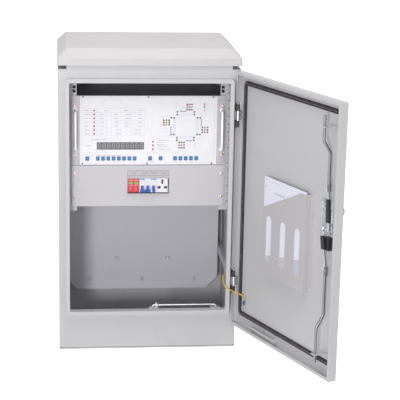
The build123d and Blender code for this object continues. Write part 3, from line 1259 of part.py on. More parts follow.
stay_y = FRONT + STAY_DEPTH
with BuildPart() as door_stay:
    with BuildLine(Plane.XZ.offset(-stay_y)) as stay_line:
        FilletPolyline(
            (STAY_HOOK_X, STAY_Z - STAY_HOOK_DROP),
            (STAY_HOOK_X, STAY_Z),
            (STAY_PIVOT_X, STAY_Z),
            (STAY_PIVOT_X, STAY_SHELF_TOP - STAY_SHELF_SHEET - STAY_PIVOT_TAIL),
            radius=STAY_BEND,
        )
    with BuildSketch(Plane.XY.offset(STAY_Z - STAY_HOOK_DROP)):
        with Locations((STAY_HOOK_X, stay_y)):
            Circle(STAY_RADIUS)
    sweep(path=stay_line.wires()[0])
finish(door_stay.part, "door_stay")


def stay_shelf(span: tuple) -> Part:
    """A folded bracket on the back of the front sheet, with a shelf at the stay's height."""
    low, high = span
    with BuildPart() as bracket:
        with BuildSketch(behind(BODY_SHEET)):
            with Locations(((low + high) / 2, STAY_LEG_BOTTOM)):
                Rectangle(high - low, STAY_SHELF_TOP - STAY_LEG_BOTTOM, align=(Align.CENTER, Align.MIN))
        extrude(amount=-STAY_SHELF_SHEET)
        with BuildSketch(Plane.XY.offset(STAY_SHELF_TOP - STAY_SHELF_SHEET)):
            with Locations(((low + high) / 2, FRONT + BODY_SHEET)):
                Rectangle(high - low, STAY_SHELF_DEPTH, align=(Align.CENTER, Align.MIN))
        extrude(amount=STAY_SHELF_SHEET)
    return bracket.part


with BuildPart() as stay_bracket:
    add(stay_shelf(STAY_BRACKET))
    with BuildSketch(Plane.XY.offset(STAY_SHELF_TOP - STAY_SHELF_SHEET)):
        with Locations((STAY_PIVOT_X, stay_y)):
            Circle(STAY_RADIUS + RUNNING)
    extrude(amount=STAY_SHELF_SHEET, mode=Mode.SUBTRACT)
finish(stay_bracket.part, "stay_bracket")

with BuildPart() as stay_clip:
    add(stay_shelf(STAY_CLIP))
    with BuildSketch(Plane.XY.offset(STAY_SHELF_TOP)):
        with Locations((STAY_CLIP[1] - 7.0, stay_y + STAY_RADIUS + CLEARANCE)):
            Rectangle(4.0, STAY_SHELF_SHEET, align=(Align.CENTER, Align.MIN))
    extrude(amount=14.0)
    with BuildSketch(Plane.XY.offset(STAY_SHELF_TOP)):
        with Locations((STAY_CLIP[1] - 7.0, stay_y)):
            Rectangle(6.0, 2 * STAY_RADIUS)
    extrude(amount=STAY_Z - STAY_RADIUS - CLEARANCE - STAY_SHELF_TOP)
finish(stay_clip.part, "stay_clip")

with BuildPart() as stay_catch:
    with BuildSketch(Plane.XY.offset(CATCH_Z)):
        with Locations((CATCH[0], CATCH_FRONT)):
            Rectangle(CATCH[1] - CATCH[0], DOOR_PANEL - CATCH_FRONT, align=(Align.MIN, Align.MIN))
        with Locations(((CATCH[0] + CATCH[1]) / 2, (CATCH_FRONT + DOOR_PANEL) / 2)):
            SlotOverall(CATCH[1] - CATCH[0] - 24.0, 2 * STAY_RADIUS + 1.5, mode=Mode.SUBTRACT)
    extrude(amount=CATCH_SHEET)
    with BuildSketch(Plane.XY.offset(CATCH_Z)):
        with Locations((CATCH[0], CATCH_FRONT)):
            Rectangle(CATCH[1] - CATCH[0], CATCH_SHEET, align=(Align.MIN, Align.MIN))
    extrude(amount=CATCH_UPSTAND)
    with BuildSketch(door_face(DOOR_PANEL)):
        with Locations((CATCH[0], CATCH_Z + CATCH_SHEET)):
            Rectangle(CATCH[1] - CATCH[0], CATCH_Z - DOOR_BOTTOM - DOOR_SHEET, align=(Align.MIN, Align.MAX))
    extrude(amount=CATCH_SHEET)
    with BuildSketch(Plane.YZ.offset(CATCH[1])):
        with Locations((CATCH_FRONT, CATCH_Z)):
            Rectangle(DOOR_PANEL - CATCH_FRONT, CATCH_END, align=(Align.MIN, Align.MIN))
    extrude(amount=-CATCH_SHEET)
hang(stay_catch.part, "stay_catch")

# Earth lead: from a stud inside the body, round the lip and over to a stud on the door

lead_points = [Vector(x, FRONT + y, z) for x, y, z in LEAD_BODY_ROUTE]
lead_points += [(DOOR_PLACE * Pos(*point)).position for point in LEAD_DOOR_ROUTE]


def corner_radius(before: Vector, corner: Vector, after: Vector) -> float:
    """The largest tangent arc that two neighbouring runs leave room for."""
    turn = radians((corner - before).get_angle(after - corner))
    return 0.45 * min((corner - before).length, (after - corner).length) / tan(turn / 2)


lead_radii = [
    corner_radius(*lead_points[number : number + 3]) for number in range(len(lead_points) - 2)
]
print("earth lead radii", [round(radius, 1) for radius in lead_radii])
with BuildPart() as earth_lead:
    with BuildLine() as lead_line:
        FilletPolyline(*lead_points, radius=lead_radii)
    lead_wire = lead_line.wires()[0]
    with BuildSketch(Plane(origin=lead_wire @ 0, z_dir=lead_wire % 0)):
        Circle(LEAD_RADIUS)
    sweep(path=lead_wire)
print("earth lead length", round(lead_wire.length, 1), "volume ratio",
      round(earth_lead.part.volume / (lead_wire.length * pi * LEAD_RADIUS**2), 4))
finish(earth_lead.part, "earth_lead")


def lug(end: Vector, along: Vector, stud_axis: Vector) -> Part:
    """A ring terminal whose sleeve takes the lead's end and whose ring goes over a stud."""
    with BuildPart() as terminal:
        with BuildSketch(Plane.YZ.offset(-LUG_GRIP)):
            Circle(LUG_SLEEVE_RADIUS)
        extrude(amount=LUG_SLEEVE_LENGTH)
        with BuildSketch(Plane.YZ.offset(-LUG_GRIP)):
            Circle(LEAD_RADIUS + RUNNING)
        extrude(amount=LUG_GRIP, mode=Mode.SUBTRACT)
        with BuildSketch(Plane.XY.offset(-LUG_SHEET / 2)):
            with Locations((LUG_GRIP, 0)):
                Rectangle(LUG_REACH - LUG_GRIP, LUG_TONGUE, align=(Align.MIN, Align.CENTER))
            with Locations((LUG_REACH, 0)):
                Circle(LUG_RING_RADIUS)
                Circle(STUD_RADIUS + RUNNING, mode=Mode.SUBTRACT)
        extrude(amount=LUG_SHEET)
    return Plane(origin=end, x_dir=along, z_dir=stud_axis).location * terminal.part


def earth_stud(ring: Vector, base: Vector) -> Part:
    """A stud from the sheet at base, with a nut either side of the lug's ring."""
    axis = (ring - base).normalized()
    reach = (ring - base).length
    with BuildPart() as stud:
        with BuildSketch():
            Circle(STUD_RADIUS)
        extrude(amount=reach + LUG_SHEET / 2 + STUD_NUT_HEIGHT + STUD_OVERHANG)
        for start, height in (
            (0, reach - LUG_SHEET / 2),
            (reach + LUG_SHEET / 2, STUD_NUT_HEIGHT),
        ):
            with BuildSketch(Plane.XY.offset(start)):
                RegularPolygon(STUD_NUT_FLATS / 2, 6, major_radius=False)
            extrude(amount=height)
    return Plane(origin=base, z_dir=axis).location * stud.part


body_along = (lead_points[0] - lead_points[1]).normalized()
body_ring = lead_points[0] + body_along * LUG_REACH
finish(lug(lead_points[0], body_along, Vector(1, 0, 0)), "body_lug")
finish(earth_stud(body_ring, Vector(wall, body_ring.Y, body_ring.Z)), "body_earth_stud")

door_ring = lead_points[-1] - Vector(0, 0, LUG_REACH)
panel_offset = DOOR_PANEL - LEAD_DOOR_ROUTE[-1][1]
finish(lug(lead_points[-1], Vector(0, 0, -1), DOOR_OUT), "door_lug")
finish(earth_stud(door_ring, door_ring + DOOR_OUT * panel_offset), "door_earth_stud")
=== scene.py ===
"""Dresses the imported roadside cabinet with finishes, printed faces, fixings and soft edges."""

import json
import logging
import math
from dataclasses import dataclass, field
from enum import Enum
from typing import Callable, Iterable, Sequence

import bmesh
import bpy
from mathutils import Matrix, Vector


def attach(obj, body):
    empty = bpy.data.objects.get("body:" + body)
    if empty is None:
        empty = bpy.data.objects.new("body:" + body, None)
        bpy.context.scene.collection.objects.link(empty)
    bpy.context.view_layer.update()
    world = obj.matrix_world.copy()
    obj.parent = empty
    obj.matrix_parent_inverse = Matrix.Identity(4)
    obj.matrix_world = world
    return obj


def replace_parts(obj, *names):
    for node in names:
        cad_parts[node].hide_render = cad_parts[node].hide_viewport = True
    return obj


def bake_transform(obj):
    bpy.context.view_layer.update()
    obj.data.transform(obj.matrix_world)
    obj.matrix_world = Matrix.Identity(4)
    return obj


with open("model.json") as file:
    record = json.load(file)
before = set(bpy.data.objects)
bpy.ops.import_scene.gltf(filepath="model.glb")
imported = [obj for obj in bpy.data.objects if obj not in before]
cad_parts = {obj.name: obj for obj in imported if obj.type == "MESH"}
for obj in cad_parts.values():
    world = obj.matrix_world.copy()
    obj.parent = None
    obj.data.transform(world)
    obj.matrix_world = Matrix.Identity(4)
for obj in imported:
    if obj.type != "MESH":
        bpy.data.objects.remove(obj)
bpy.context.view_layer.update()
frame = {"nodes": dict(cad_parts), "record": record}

logging.basicConfig(level=logging.INFO, format="%(message)s")
log = logging.getLogger("cabinet")

Colour = tuple[float, float, float]
Point = tuple[float, float, float]
Spot = tuple[float, float]

MM = 0.001
BODY_HALF_DEPTH = 197.0
HINGE_X = 274.0
HINGE_Y = -208.75
HINGE_INSET = 8.0
HINGE_DEPTH = 5.75
DOOR_ANGLE = math.radians(113.7)
SHARP_EDGE = math.radians(40.0)


def paint(red: int, green: int, blue: int) -> Colour:
    """Turns a colour as seen on a screen into the linear one that a shader takes.

    Args:
        red, green, blue: levels from 0 to 255.

    Returns:
        The three linear levels.
    """

    def linear(level: int) -> float:
        """One channel's linear level."""
        share = level / 255
        return share / 12.92 if share <= 0.04045 else ((share + 0.055) / 1.055) ** 2.4

    return linear(red), linear(green), linear(blue)


def front_place() -> Matrix:
    """The place of shapes drawn on the front, with X across, Y in and Z up, in millimetres."""
    return Matrix.Translation((0, -BODY_HALF_DEPTH * MM, 0)) @ Matrix.Scale(MM, 4)


def door_place() -> Matrix:
    """The place of shapes drawn on the open door.

    Returns:
        The matrix that takes X along the door from its hinge edge, Y out and Z up, in millimetres.
    """
    along = Vector((-math.cos(DOOR_ANGLE), -math.sin(DOOR_ANGLE), 0))
    out = Vector((math.sin(DOOR_ANGLE), -math.cos(DOOR_ANGLE), 0))
    corner = Vector((HINGE_X, HINGE_Y, 0)) - along * HINGE_INSET - out * HINGE_DEPTH
    turned = Matrix((along, out, Vector((0, 0, 1)))).transposed().to_4x4()
    return Matrix.Translation(corner * MM) @ turned @ Matrix.Scale(MM, 4)


class Side(Enum):
    """The assembly a piece is drawn on."""

    FRONT = "front"
    DOOR = "door"

    @property
    def place(self) -> Matrix:
        """The matrix from the drawing to the row frame."""
        return front_place() if self is Side.FRONT else door_place()


class Shade:
    """A material's nodes, from the surface texture up to the shader."""

    def __init__(self, title: str) -> None:
        """Starts a material.

        Args:
            title: the material's name.
        """
        self.material = bpy.data.materials.new(title)
        self.material.use_nodes = True
        self.tree = self.material.node_tree
        self.tree.nodes.clear()
        self.skin = self.add("ShaderNodeBsdfPrincipled")
        output = self.add("ShaderNodeOutputMaterial")
        self.tree.links.new(self.skin.outputs["BSDF"], output.inputs["Surface"])
        self.where = self.add("ShaderNodeTexCoord").outputs["Object"]

    def add(self, kind: str, **settings: object) -> bpy.types.Node:
        """Adds a node and sets its properties."""
        node = self.tree.nodes.new(kind)
        for name, value in settings.items():
            setattr(node, name, value)
        return node

    def set(self, **values: object) -> "Shade":
        """Sets constants on the shader's own sockets, named with underscores for spaces."""
        for name, value in values.items():
            self.skin.inputs[name.replace("_", " ")].default_value = value
        return self

    def stretched(self, stretch: Sequence[float]) -> bpy.types.NodeSocket:
        """Object coordinates scaled along each axis."""
        mapping = self.add("ShaderNodeMapping")
        mapping.inputs["Scale"].default_value = tuple(stretch)
        self.tree.links.new(self.where, mapping.inputs["Vector"])
        return mapping.outputs["Vector"]

    def noise(
        self, scale: float, detail: float = 3.0, stretch: Sequence[float] = (1, 1, 1)
    ) -> bpy.types.NodeSocket:
        """Adds noise.

        Args:
            scale: features per metre.
            detail: octaves.
            stretch: how each axis is scaled, for brushed or drawn grain.

        Returns:
            The noise's value, about a middle of one half.
        """
        node = self.add("ShaderNodeTexNoise")
        node.inputs["Scale"].default_value = scale
        node.inputs["Detail"].default_value = detail
        self.tree.links.new(self.stretched(stretch), node.inputs["Vector"])
        return node.outputs["Fac"]

    def cells(self, scale: float) -> bpy.types.NodeSocket:
        """Adds a cell pattern, as of spangle.

        Args:
            scale: cells per metre.

        Returns:
            Each cell's own random colour.
        """
        node = self.add("ShaderNodeTexVoronoi")
        node.inputs["Scale"].default_value = scale
        self.tree.links.new(self.where, node.inputs["Vector"])
        return node.outputs["Color"]

    def level(self, source: bpy.types.NodeSocket, low: float, high: float) -> bpy.types.NodeSocket:
        """Maps the middle of a value's range onto low to high."""
        node = self.add("ShaderNodeMapRange")
        node.inputs["From Min"].default_value = 0.3
        node.inputs["From Max"].default_value = 0.7
        node.inputs["To Min"].default_value = low
        node.inputs["To Max"].default_value = high
        self.tree.links.new(source, node.inputs["Value"])
        return node.outputs["Result"]

    def blend(
        self, share: bpy.types.NodeSocket, first: object, second: object
    ) -> bpy.types.NodeSocket:
        """Mixes two colours, each a colour or a socket, by a share from 0 to 1."""
        node = self.add("ShaderNodeMix", data_type="RGBA")
        self.tree.links.new(share, node.inputs["Factor"])
        for socket, value in ((node.inputs[6], first), (node.inputs[7], second)):
            if isinstance(value, bpy.types.NodeSocket):
                self.tree.links.new(value, socket)
            else:
                socket.default_value = (*value, 1.0)
        return node.outputs[2]

    def colour(self, socket: bpy.types.NodeSocket) -> "Shade":
        """Feeds the base colour."""
        self.tree.links.new(socket, self.skin.inputs["Base Color"])
        return self

    def rough(self, socket: bpy.types.NodeSocket) -> "Shade":
        """Feeds the roughness."""
        self.tree.links.new(socket, self.skin.inputs["Roughness"])
        return self

    def bump(self, height: bpy.types.NodeSocket, deep: float, strength: float = 1.0) -> "Shade":
        """Raises the surface by a height map.

        Args:
            height: the map.
            deep: how deep it is, in metres.
            strength: its share, where it lies over a bump that is already there.

        Returns:
            The same shade.
        """
        node = self.add("ShaderNodeBump")
        node.inputs["Strength"].default_value = strength
        node.inputs["Distance"].default_value = deep
        self.tree.links.new(height, node.inputs["Height"])
        normal = self.skin.inputs["Normal"]
        if normal.is_linked:
            self.tree.links.new(normal.links[0].from_socket, node.inputs["Normal"])
        self.tree.links.new(node.outputs["Normal"], normal)
        return self


def tinted(colour: Colour, factor: float) -> Colour:
    """A colour made lighter or darker by a factor."""
    return tuple(min(1.0, level * factor) for level in colour)


@dataclass(frozen=True)
class Finish:
    """What every finish has: a name for the material, its slot in the record and its colour."""

    title: str
    slot: str
    colour: Colour

    def build(self) -> bpy.types.Material:
        """Makes the material, once, and gives it back after that."""
        found = bpy.data.materials.get(self.title)
        return found or self.dress(Shade(self.title)).material

    def dress(self, shade: Shade) -> Shade:
        """Lays the finish on a fresh material."""
        raise NotImplementedError

    def mottled(self, shade: Shade, scale: float, swing: float) -> bpy.types.NodeSocket:
        """The colour, lighter and darker by swing in patches of the given scale."""
        share = shade.level(shade.noise(scale, 4.0), 0.0, 1.0)
        return shade.blend(share, tinted(self.colour, 1 - swing), tinted(self.colour, 1 + swing))


@dataclass(frozen=True)
class PowderCoat(Finish):
    """Baked powder paint: a fine orange peel under a satin skin, with faint handling marks."""

    roughness: float = 0.42
    peel: float = 0.00004
    swing: float = 0.018

    def dress(self, shade: Shade) -> Shade:
        """Lays fine peel, slow mottling and smudges of duller paint."""
        base = self.mottled(shade, 5.0, self.swing)
        grime = shade.level(shade.noise(14.0, 6.0), -1.2, 0.35)
        shade.colour(shade.blend(grime, base, tinted(self.colour, 0.93)))
        shade.rough(shade.level(shade.noise(9.0), self.roughness - 0.05, self.roughness + 0.08))
        shade.bump(shade.noise(650.0, 2.0), self.peel)
        return shade.bump(shade.noise(6.0, 1.0), 0.0002, 0.2)


@dataclass(frozen=True)
class Plated(Finish):
    """Plated or galvanised steel, with spangle or drawn grain."""

    roughness: float = 0.34
    metallic: float = 0.85
    spangle: float = 0.0
    grain: tuple[float, float, float] = (1.0, 1.0, 0.12)

    def dress(self, shade: Shade) -> Shade:
        """Lays grain along the part, cloudy plating and, on galvanised sheet, spangle."""
        base = self.mottled(shade, 22.0, 0.06)
        if self.spangle:
            share = shade.level(shade.cells(self.spangle), 0.0, 0.35)
            base = shade.blend(share, base, tinted(self.colour, 1.12))
        shade.colour(base).set(Metallic=self.metallic)
        streak = shade.noise(420.0, 3.0, self.grain)
        shade.rough(shade.level(streak, self.roughness - 0.06, self.roughness + 0.1))
        return shade.bump(streak, 0.00002)


@dataclass(frozen=True)
class Moulded(Finish):
    """Moulded plastic with a fine spark texture."""

    roughness: float = 0.4
    grain: float = 0.00002

    def dress(self, shade: Shade) -> Shade:
        """Lays the spark texture and slight shade changes."""
        shade.colour(self.mottled(shade, 40.0, 0.03))
        shade.rough(shade.level(shade.noise(120.0), self.roughness - 0.04, self.roughness + 0.05))
        return shade.bump(shade.noise(1400.0, 2.0), self.grain)


@dataclass(frozen=True)
class Foam(Finish):
    """Black cellular rubber with a dusty bloom."""

    def dress(self, shade: Shade) -> Shade:
        """Lays open cells and grey bloom."""
        bloom = shade.level(shade.noise(60.0, 5.0), -0.3, 0.7)
        shade.colour(shade.blend(bloom, self.colour, tinted(self.colour, 1.9)))
        shade.set(Roughness=0.85)
        return shade.bump(shade.noise(1600.0, 3.0), 0.00008)


@dataclass(frozen=True)
class Paper(Finish):
    """Sheets of paper with fibres and a slight wave."""

    def dress(self, shade: Shade) -> Shade:
        """Lays fibres over a slow wave."""
        shade.colour(self.mottled(shade, 30.0, 0.012)).set(Roughness=0.75)
        shade.bump(shade.noise(900.0, 4.0), 0.00003)
        return shade.bump(shade.noise(12.0, 1.0), 0.002, 0.4)


@dataclass(frozen=True)
class Lens(Finish):
    """A small clear coloured lens or smoked window."""

    roughness: float = 0.4
    coat: float = 0.12

    def dress(self, shade: Shade) -> Shade:
        """Lays a glossy coat over a slightly cloudy body."""
        shade.colour(self.mottled(shade, 260.0, 0.08))
        shade.rough(shade.level(shade.noise(90.0), self.roughness, self.roughness + 0.08))
        return shade.set(Coat_Weight=self.coat, Coat_Roughness=0.3)


# Painted, plated and bare metal
ENCLOSURE = PowderCoat("enclosure_paint_coat", "enclosure_paint", paint(202, 201, 203))
ROOF = PowderCoat("roof_paint", "enclosure_paint", paint(207, 204, 204), swing=0.012)
SEAM = Moulded("sealed_seam", "enclosure_paint", paint(96, 90, 90), 0.7)
PANEL = PowderCoat("panel_paint_coat", "panel_paint", paint(198, 195, 198), 0.36, 0.00002)
FRONT_SHEET = PowderCoat("grey_panel_paint", "panel_paint", paint(204, 202, 206), 0.4, 0.00002)
PLATE = PowderCoat("dull_zinc_sheet", "zinc_sheet", paint(216, 215, 222), 0.5, 0.00001, 0.008)
BLACK_PAINT = PowderCoat("satin_black", "black_paint", paint(42, 40, 43), 0.4)
GALVANISED = Plated("galvanised_sheet", "zinc_sheet", paint(192, 191, 196), 0.5, 0.12, 160.0)
# Painted shade for the cut edges of the rails' square holes
RAIL_HOLE_SHADE = Moulded("dark_edge", "zinc_sheet", paint(40, 38, 42), 0.7)
ZINC = Plated("bright_zinc", "zinc_steel", paint(214, 214, 218), 0.3, 0.8)
SCREWS = Plated("screw_plate", "zinc_steel", paint(208, 194, 188), 0.3, 0.85)
DULL_STEEL = Plated("dull_steel", "zinc_steel", paint(120, 118, 122), 0.4, 0.4)
RODS = Plated("drawn_zinc", "zinc_steel", paint(138, 138, 144), 0.28, 0.9, grain=(1, 1, 0.02))
LOCK_ZINC = Plated("blue_zinc", "zinc_steel", paint(206, 211, 215), 0.2, 0.95)
NUTS = Plated("plate_zinc", "zinc_steel", paint(212, 211, 217), 0.5, 0.1)
LEVER = Plated("satin_chrome", "zinc_steel", paint(176, 160, 156), 0.35, 0.8)
CASE = Plated("case_sheet_coat", "case_sheet", paint(150, 150, 154), 0.5, 0.5, 120.0)
CHROME = Plated(
    "polished_chrome", "grip_chrome", paint(236, 235, 237), 0.42, 0.7, grain=(1, 1, 0.05)
)

# The controller's front
FILM = Moulded("overlay_film_coat", "overlay_film", paint(243, 242, 246), 0.4, 0.000006)
KEYS = Moulded("key_blue_coat", "key_blue", paint(60, 112, 172), 0.5)
KEY_CROSS = Moulded("key_cross", "key_blue", paint(132, 166, 208), 0.5)
WINDOW = Lens("readout_smoke", "readout_dark", paint(92, 90, 98), 0.35)
SEGMENT = Moulded("readout_segment", "readout_dark", paint(186, 186, 190), 0.4)
RED_LAMP = Lens("lamp_red_coat", "lamp_red", paint(146, 26, 38))
YELLOW_LAMP = Lens("lamp_yellow", "lamp_red", paint(142, 126, 44))
GREEN_LAMP = Lens("lamp_green", "lamp_red", paint(40, 92, 62))

# The devices
WHITE_CASE = Moulded("device_white_coat", "device_white", paint(238, 238, 243), 0.38)
RED_CASE = Moulded("device_red_coat", "device_red", paint(208, 54, 66), 0.38)
TOGGLE = Moulded("toggle_blue_coat", "toggle_blue", paint(58, 94, 182), 0.32)
SHUTTER = Moulded("socket_shutter", "device_white", paint(74, 48, 42), 0.45)

# Plastic, foam, paper and the lead on the door
BLACK_PLASTIC = Moulded("black_plastic_coat", "black_plastic", paint(40, 38, 41), 0.42)
GASKET = Foam("gasket_foam_coat", "gasket_foam", paint(50, 46, 50))
# Painted highlight along the gasket's middle crest
GASKET_CREST_HIGHLIGHT = Foam("foam_rib", "gasket_foam", paint(104, 99, 103))
SHEETS = Paper("paper_sheet", "paper_white", paint(238, 238, 250))
# Painted shadow over the front sheet's lower part
PAPER_SHADOW_SHEET = Paper("paper_shaded", "paper_white", paint(204, 204, 216))
LEAD = Moulded("lead_yellow_coat", "lead_yellow", paint(218, 170, 56), 0.42)
TERMINAL = Moulded("terminal_blue", "sleeve_blue", paint(58, 78, 178), 0.4)

# Printing inks
LINE_INK = Moulded("ink_line", "overlay_film", paint(182, 182, 198), 0.5)
TEXT_INK = Moulded("ink_text", "overlay_film", paint(136, 134, 152), 0.5)
ROAD_INK = Moulded("ink_road", "overlay_film", paint(234, 234, 243), 0.5)
DARK_INK = Moulded("ink_dark", "overlay_film", paint(70, 68, 84), 0.5)
RED_INK = Moulded("ink_red", "overlay_film", paint(188, 128, 132), 0.5)
PALE_INK = Moulded("ink_pale", "device_red", paint(240, 196, 204), 0.5)
GREEN_INK = Moulded("ink_green", "device_red", paint(118, 198, 118), 0.4)
SKY_INK = Moulded("ink_sky", "device_white", paint(112, 152, 222), 0.5)
TITLE_INK = Moulded("ink_label", "panel_paint", paint(96, 94, 100), 0.5)
FIELD_INK = Moulded("ink_field", "panel_paint", paint(158, 156, 162), 0.5)


def evaluated() -> bpy.types.Depsgraph:
    """The dependency graph, up to date."""
    bpy.context.view_layer.update()
    return bpy.context.evaluated_depsgraph_get()


def placed(name: str, data: bpy.types.ID) -> bpy.types.Object:
    """Links an object that holds the data into the scene, at the origin."""
    holder = bpy.data.objects.new(name, data)
    bpy.context.scene.collection.objects.link(holder)
    return holder


def baked(holder: bpy.types.Object, *helpers: bpy.types.Object) -> bpy.types.Mesh:
    """The mesh that an object's modifiers give; the object and its helpers are removed."""
    mesh = bpy.data.meshes.new_from_object(holder.evaluated_get(evaluated()))
    for each in (holder, *helpers):
        bpy.data.objects.remove(each)
    return mesh


def rounded(centre: Spot, size: Spot, corner: float, steps: int = 5) -> list[Spot]:
    """A rounded rectangle's outline.

    Args:
        centre: its centre.
        size: its width and height.
        corner: the radius of its corners.
        steps: how many edges each corner has.

    Returns:
        Its points, anticlockwise.
    """
    half_x, half_z = size[0] / 2 - corner, size[1] / 2 - corner
    points = []
    for quarter, (sign_x, sign_z) in enumerate(((1, 1), (-1, 1), (-1, -1), (1, -1))):
        for step in range(steps + 1):
            angle = (quarter + step / steps) * math.pi / 2
            points.append(
                (
                    centre[0] + sign_x * half_x + corner * math.cos(angle),
                    centre[1] + sign_z * half_z + corner * math.sin(angle),
                )
            )
    return points


def box_outline(left: float, right: float, bottom: float, top: float) -> list[Spot]:
    """A plain rectangle's outline."""
    return [(left, bottom), (right, bottom), (right, top), (left, top)]


def circle(centre: Spot, radius: float, sides: int = 20) -> list[Spot]:
    """A circle's outline."""
    turns = [2 * math.pi * number / sides for number in range(sides)]
    return [(centre[0] + radius * math.cos(t), centre[1] + radius * math.sin(t)) for t in turns]


class Mould:
    """Collects closed shapes, in millimetres on one side's drawing, for one piece."""

    def __init__(self) -> None:
        """Starts empty."""
        self.mesh = bmesh.new()

    def ring(self, outline: Sequence[Spot], depth: float) -> list[bmesh.types.BMVert]:
        """Adds an outline's points at one depth."""
        return [self.mesh.verts.new((x, depth, z)) for x, z in outline]

    def wall(self, one: Sequence[bmesh.types.BMVert], two: Sequence[bmesh.types.BMVert]) -> None:
        """Joins two rings of the same number of points."""
        for number in range(len(one)):
            after = (number + 1) % len(one)
            self.mesh.faces.new((one[number], one[after], two[after], two[number]))

    def slab(self, outline: Sequence[Spot], near: float, far: float) -> "Mould":
        """Adds a slab with this outline between two depths."""
        front, back = self.ring(outline, near), self.ring(outline, far)
        self.mesh.faces.new(front)
        self.mesh.faces.new(back[::-1])
        self.wall(back, front)
        return self

    def frame(
        self, outer: Sequence[Spot], inner: Sequence[Spot], near: float, far: float
    ) -> "Mould":
        """Adds a flat ring between two outlines of the same number of points."""
        sides = ((outer, near), (inner, near), (inner, far), (outer, far))
        rings = [self.ring(outline, depth) for outline, depth in sides]
        for one, two in zip(rings, rings[1:] + rings[:1]):
            self.wall(one, two)
        return self

    def turned(self, centre: Spot, profile: Sequence[Spot], sides: int = 24) -> "Mould":
        """Adds a turned shape whose axis runs along the depth.

        Args:
            centre: where its axis is.
            profile: radius and depth of each ring, from its front pole to its back one.
            sides: how many faces go round.
        """
        rings = [
            self.ring(circle(centre, radius, sides) if radius else [centre], depth)
            for radius, depth in profile
        ]
        for one, two in zip(rings, rings[1:]):
            for number in range(sides):
                after = (number + 1) % sides
                corners = [one[number % len(one)], one[after % len(one)]]
                corners += [two[after % len(two)], two[number % len(two)]]
                unique = list(dict.fromkeys(corners))
                if len(unique) > 2:
                    self.mesh.faces.new(unique)
        for ring, flip in ((rings[0], False), (rings[-1], True)):
            if len(ring) > 1:
                self.mesh.faces.new(list(reversed(ring)) if flip else ring)
        return self

    def figures(self, text: str, at: Spot, height: float, depth: float) -> "Mould":
        """Adds printed figures, centred on a point.

        Args:
            text: plain figures or signs.
            at: the middle of the text.
            height: the height of a capital.
            depth: the depth of the printed face.
        """
        curve = bpy.data.curves.new("figures", "FONT")
        curve.body = text
        curve.size = height * 1.4
        curve.extrude = 0.04
        curve.align_x = "CENTER"
        curve.align_y = "CENTER"
        curve.resolution_u = 2
        flat = baked(placed("figures", curve))
        upright = Matrix.Rotation(math.pi / 2, 4, "X")
        flat.transform(Matrix.Translation((at[0], depth, at[1])) @ upright)
        self.mesh.from_mesh(flat)
        bpy.data.curves.remove(curve)
        bpy.data.meshes.remove(flat)
        return self

    def done(self) -> bpy.types.Mesh:
        """Closes the mould.

        Returns:
            The mesh, still in millimetres, with its faces outwards.
        """
        bmesh.ops.remove_doubles(self.mesh, verts=self.mesh.verts, dist=1e-4)
        bmesh.ops.recalc_face_normals(self.mesh, faces=self.mesh.faces)
        mesh = bpy.data.meshes.new("mould")
        self.mesh.to_mesh(mesh)
        self.mesh.free()
        return mesh


def crease(mesh: bpy.types.Mesh, angle: float = 32.0) -> None:
    """Shades a mesh smooth, apart from edges sharper than the angle in degrees."""
    shape = bmesh.new()
    shape.from_mesh(mesh)
    for face in shape.faces:
        face.smooth = True
    for edge in shape.edges:
        edge.smooth = edge.is_manifold and edge.calc_face_angle(math.pi) < math.radians(angle)
    shape.to_mesh(mesh)
    shape.free()


def with_soft_edges(mesh: bpy.types.Mesh, width: float) -> bpy.types.Mesh:
    """Rounds a mesh's sharp edges.

    Args:
        mesh: the mesh, in metres.
        width: the width of the rounding, in metres.

    Returns:
        A new mesh.
    """
    holder = placed("soft_edges", mesh)
    bevel = holder.modifiers.new("soft_edges", "BEVEL")
    bevel.width = width
    bevel.segments = 2
    bevel.limit_method = "ANGLE"
    bevel.angle_limit = SHARP_EDGE
    bevel.harden_normals = True
    bevel.use_clamp_overlap = True
    graph = evaluated()
    result = bpy.data.meshes.new_from_object(
        holder.evaluated_get(graph), preserve_all_data_layers=True, depsgraph=graph
    )
    bpy.data.objects.remove(holder)
    return result


def stand(mesh: bpy.types.Mesh, name: str, finish: Finish, body: str) -> bpy.types.Object:
    """Puts a finished mesh into the scene as a piece.

    Args:
        mesh: the mesh, in the row frame and in metres.
        name: the piece's name.
        finish: its finish, unless the mesh already has materials.
        body: the body it rides on.

    Returns:
        The piece.
    """
    mesh.name = name
    if not mesh.materials:
        mesh.materials.append(finish.build())
    piece = placed(name, mesh)
    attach(piece, body)
    log.info("%s: %d faces on %s", name, len(mesh.polygons), body)
    return piece


def cast(
    mould: Mould, name: str, finish: Finish, body: str, side: Side, edge: float = 0.0
) -> bpy.types.Object:
    """Turns a mould into a piece on its side of the cabinet.

    Args:
        mould: the shapes.
        name: the piece's name.
        finish: its finish.
        body: the body it rides on.
        side: the side it is drawn on.
        edge: the rounding of its edges in millimetres, or none.

    Returns:
        The piece.
    """
    mesh = mould.done()
    mesh.transform(side.place)
    if edge:
        mesh = with_soft_edges(mesh, edge * MM)
    crease(mesh)
    return stand(mesh, name, finish, body)


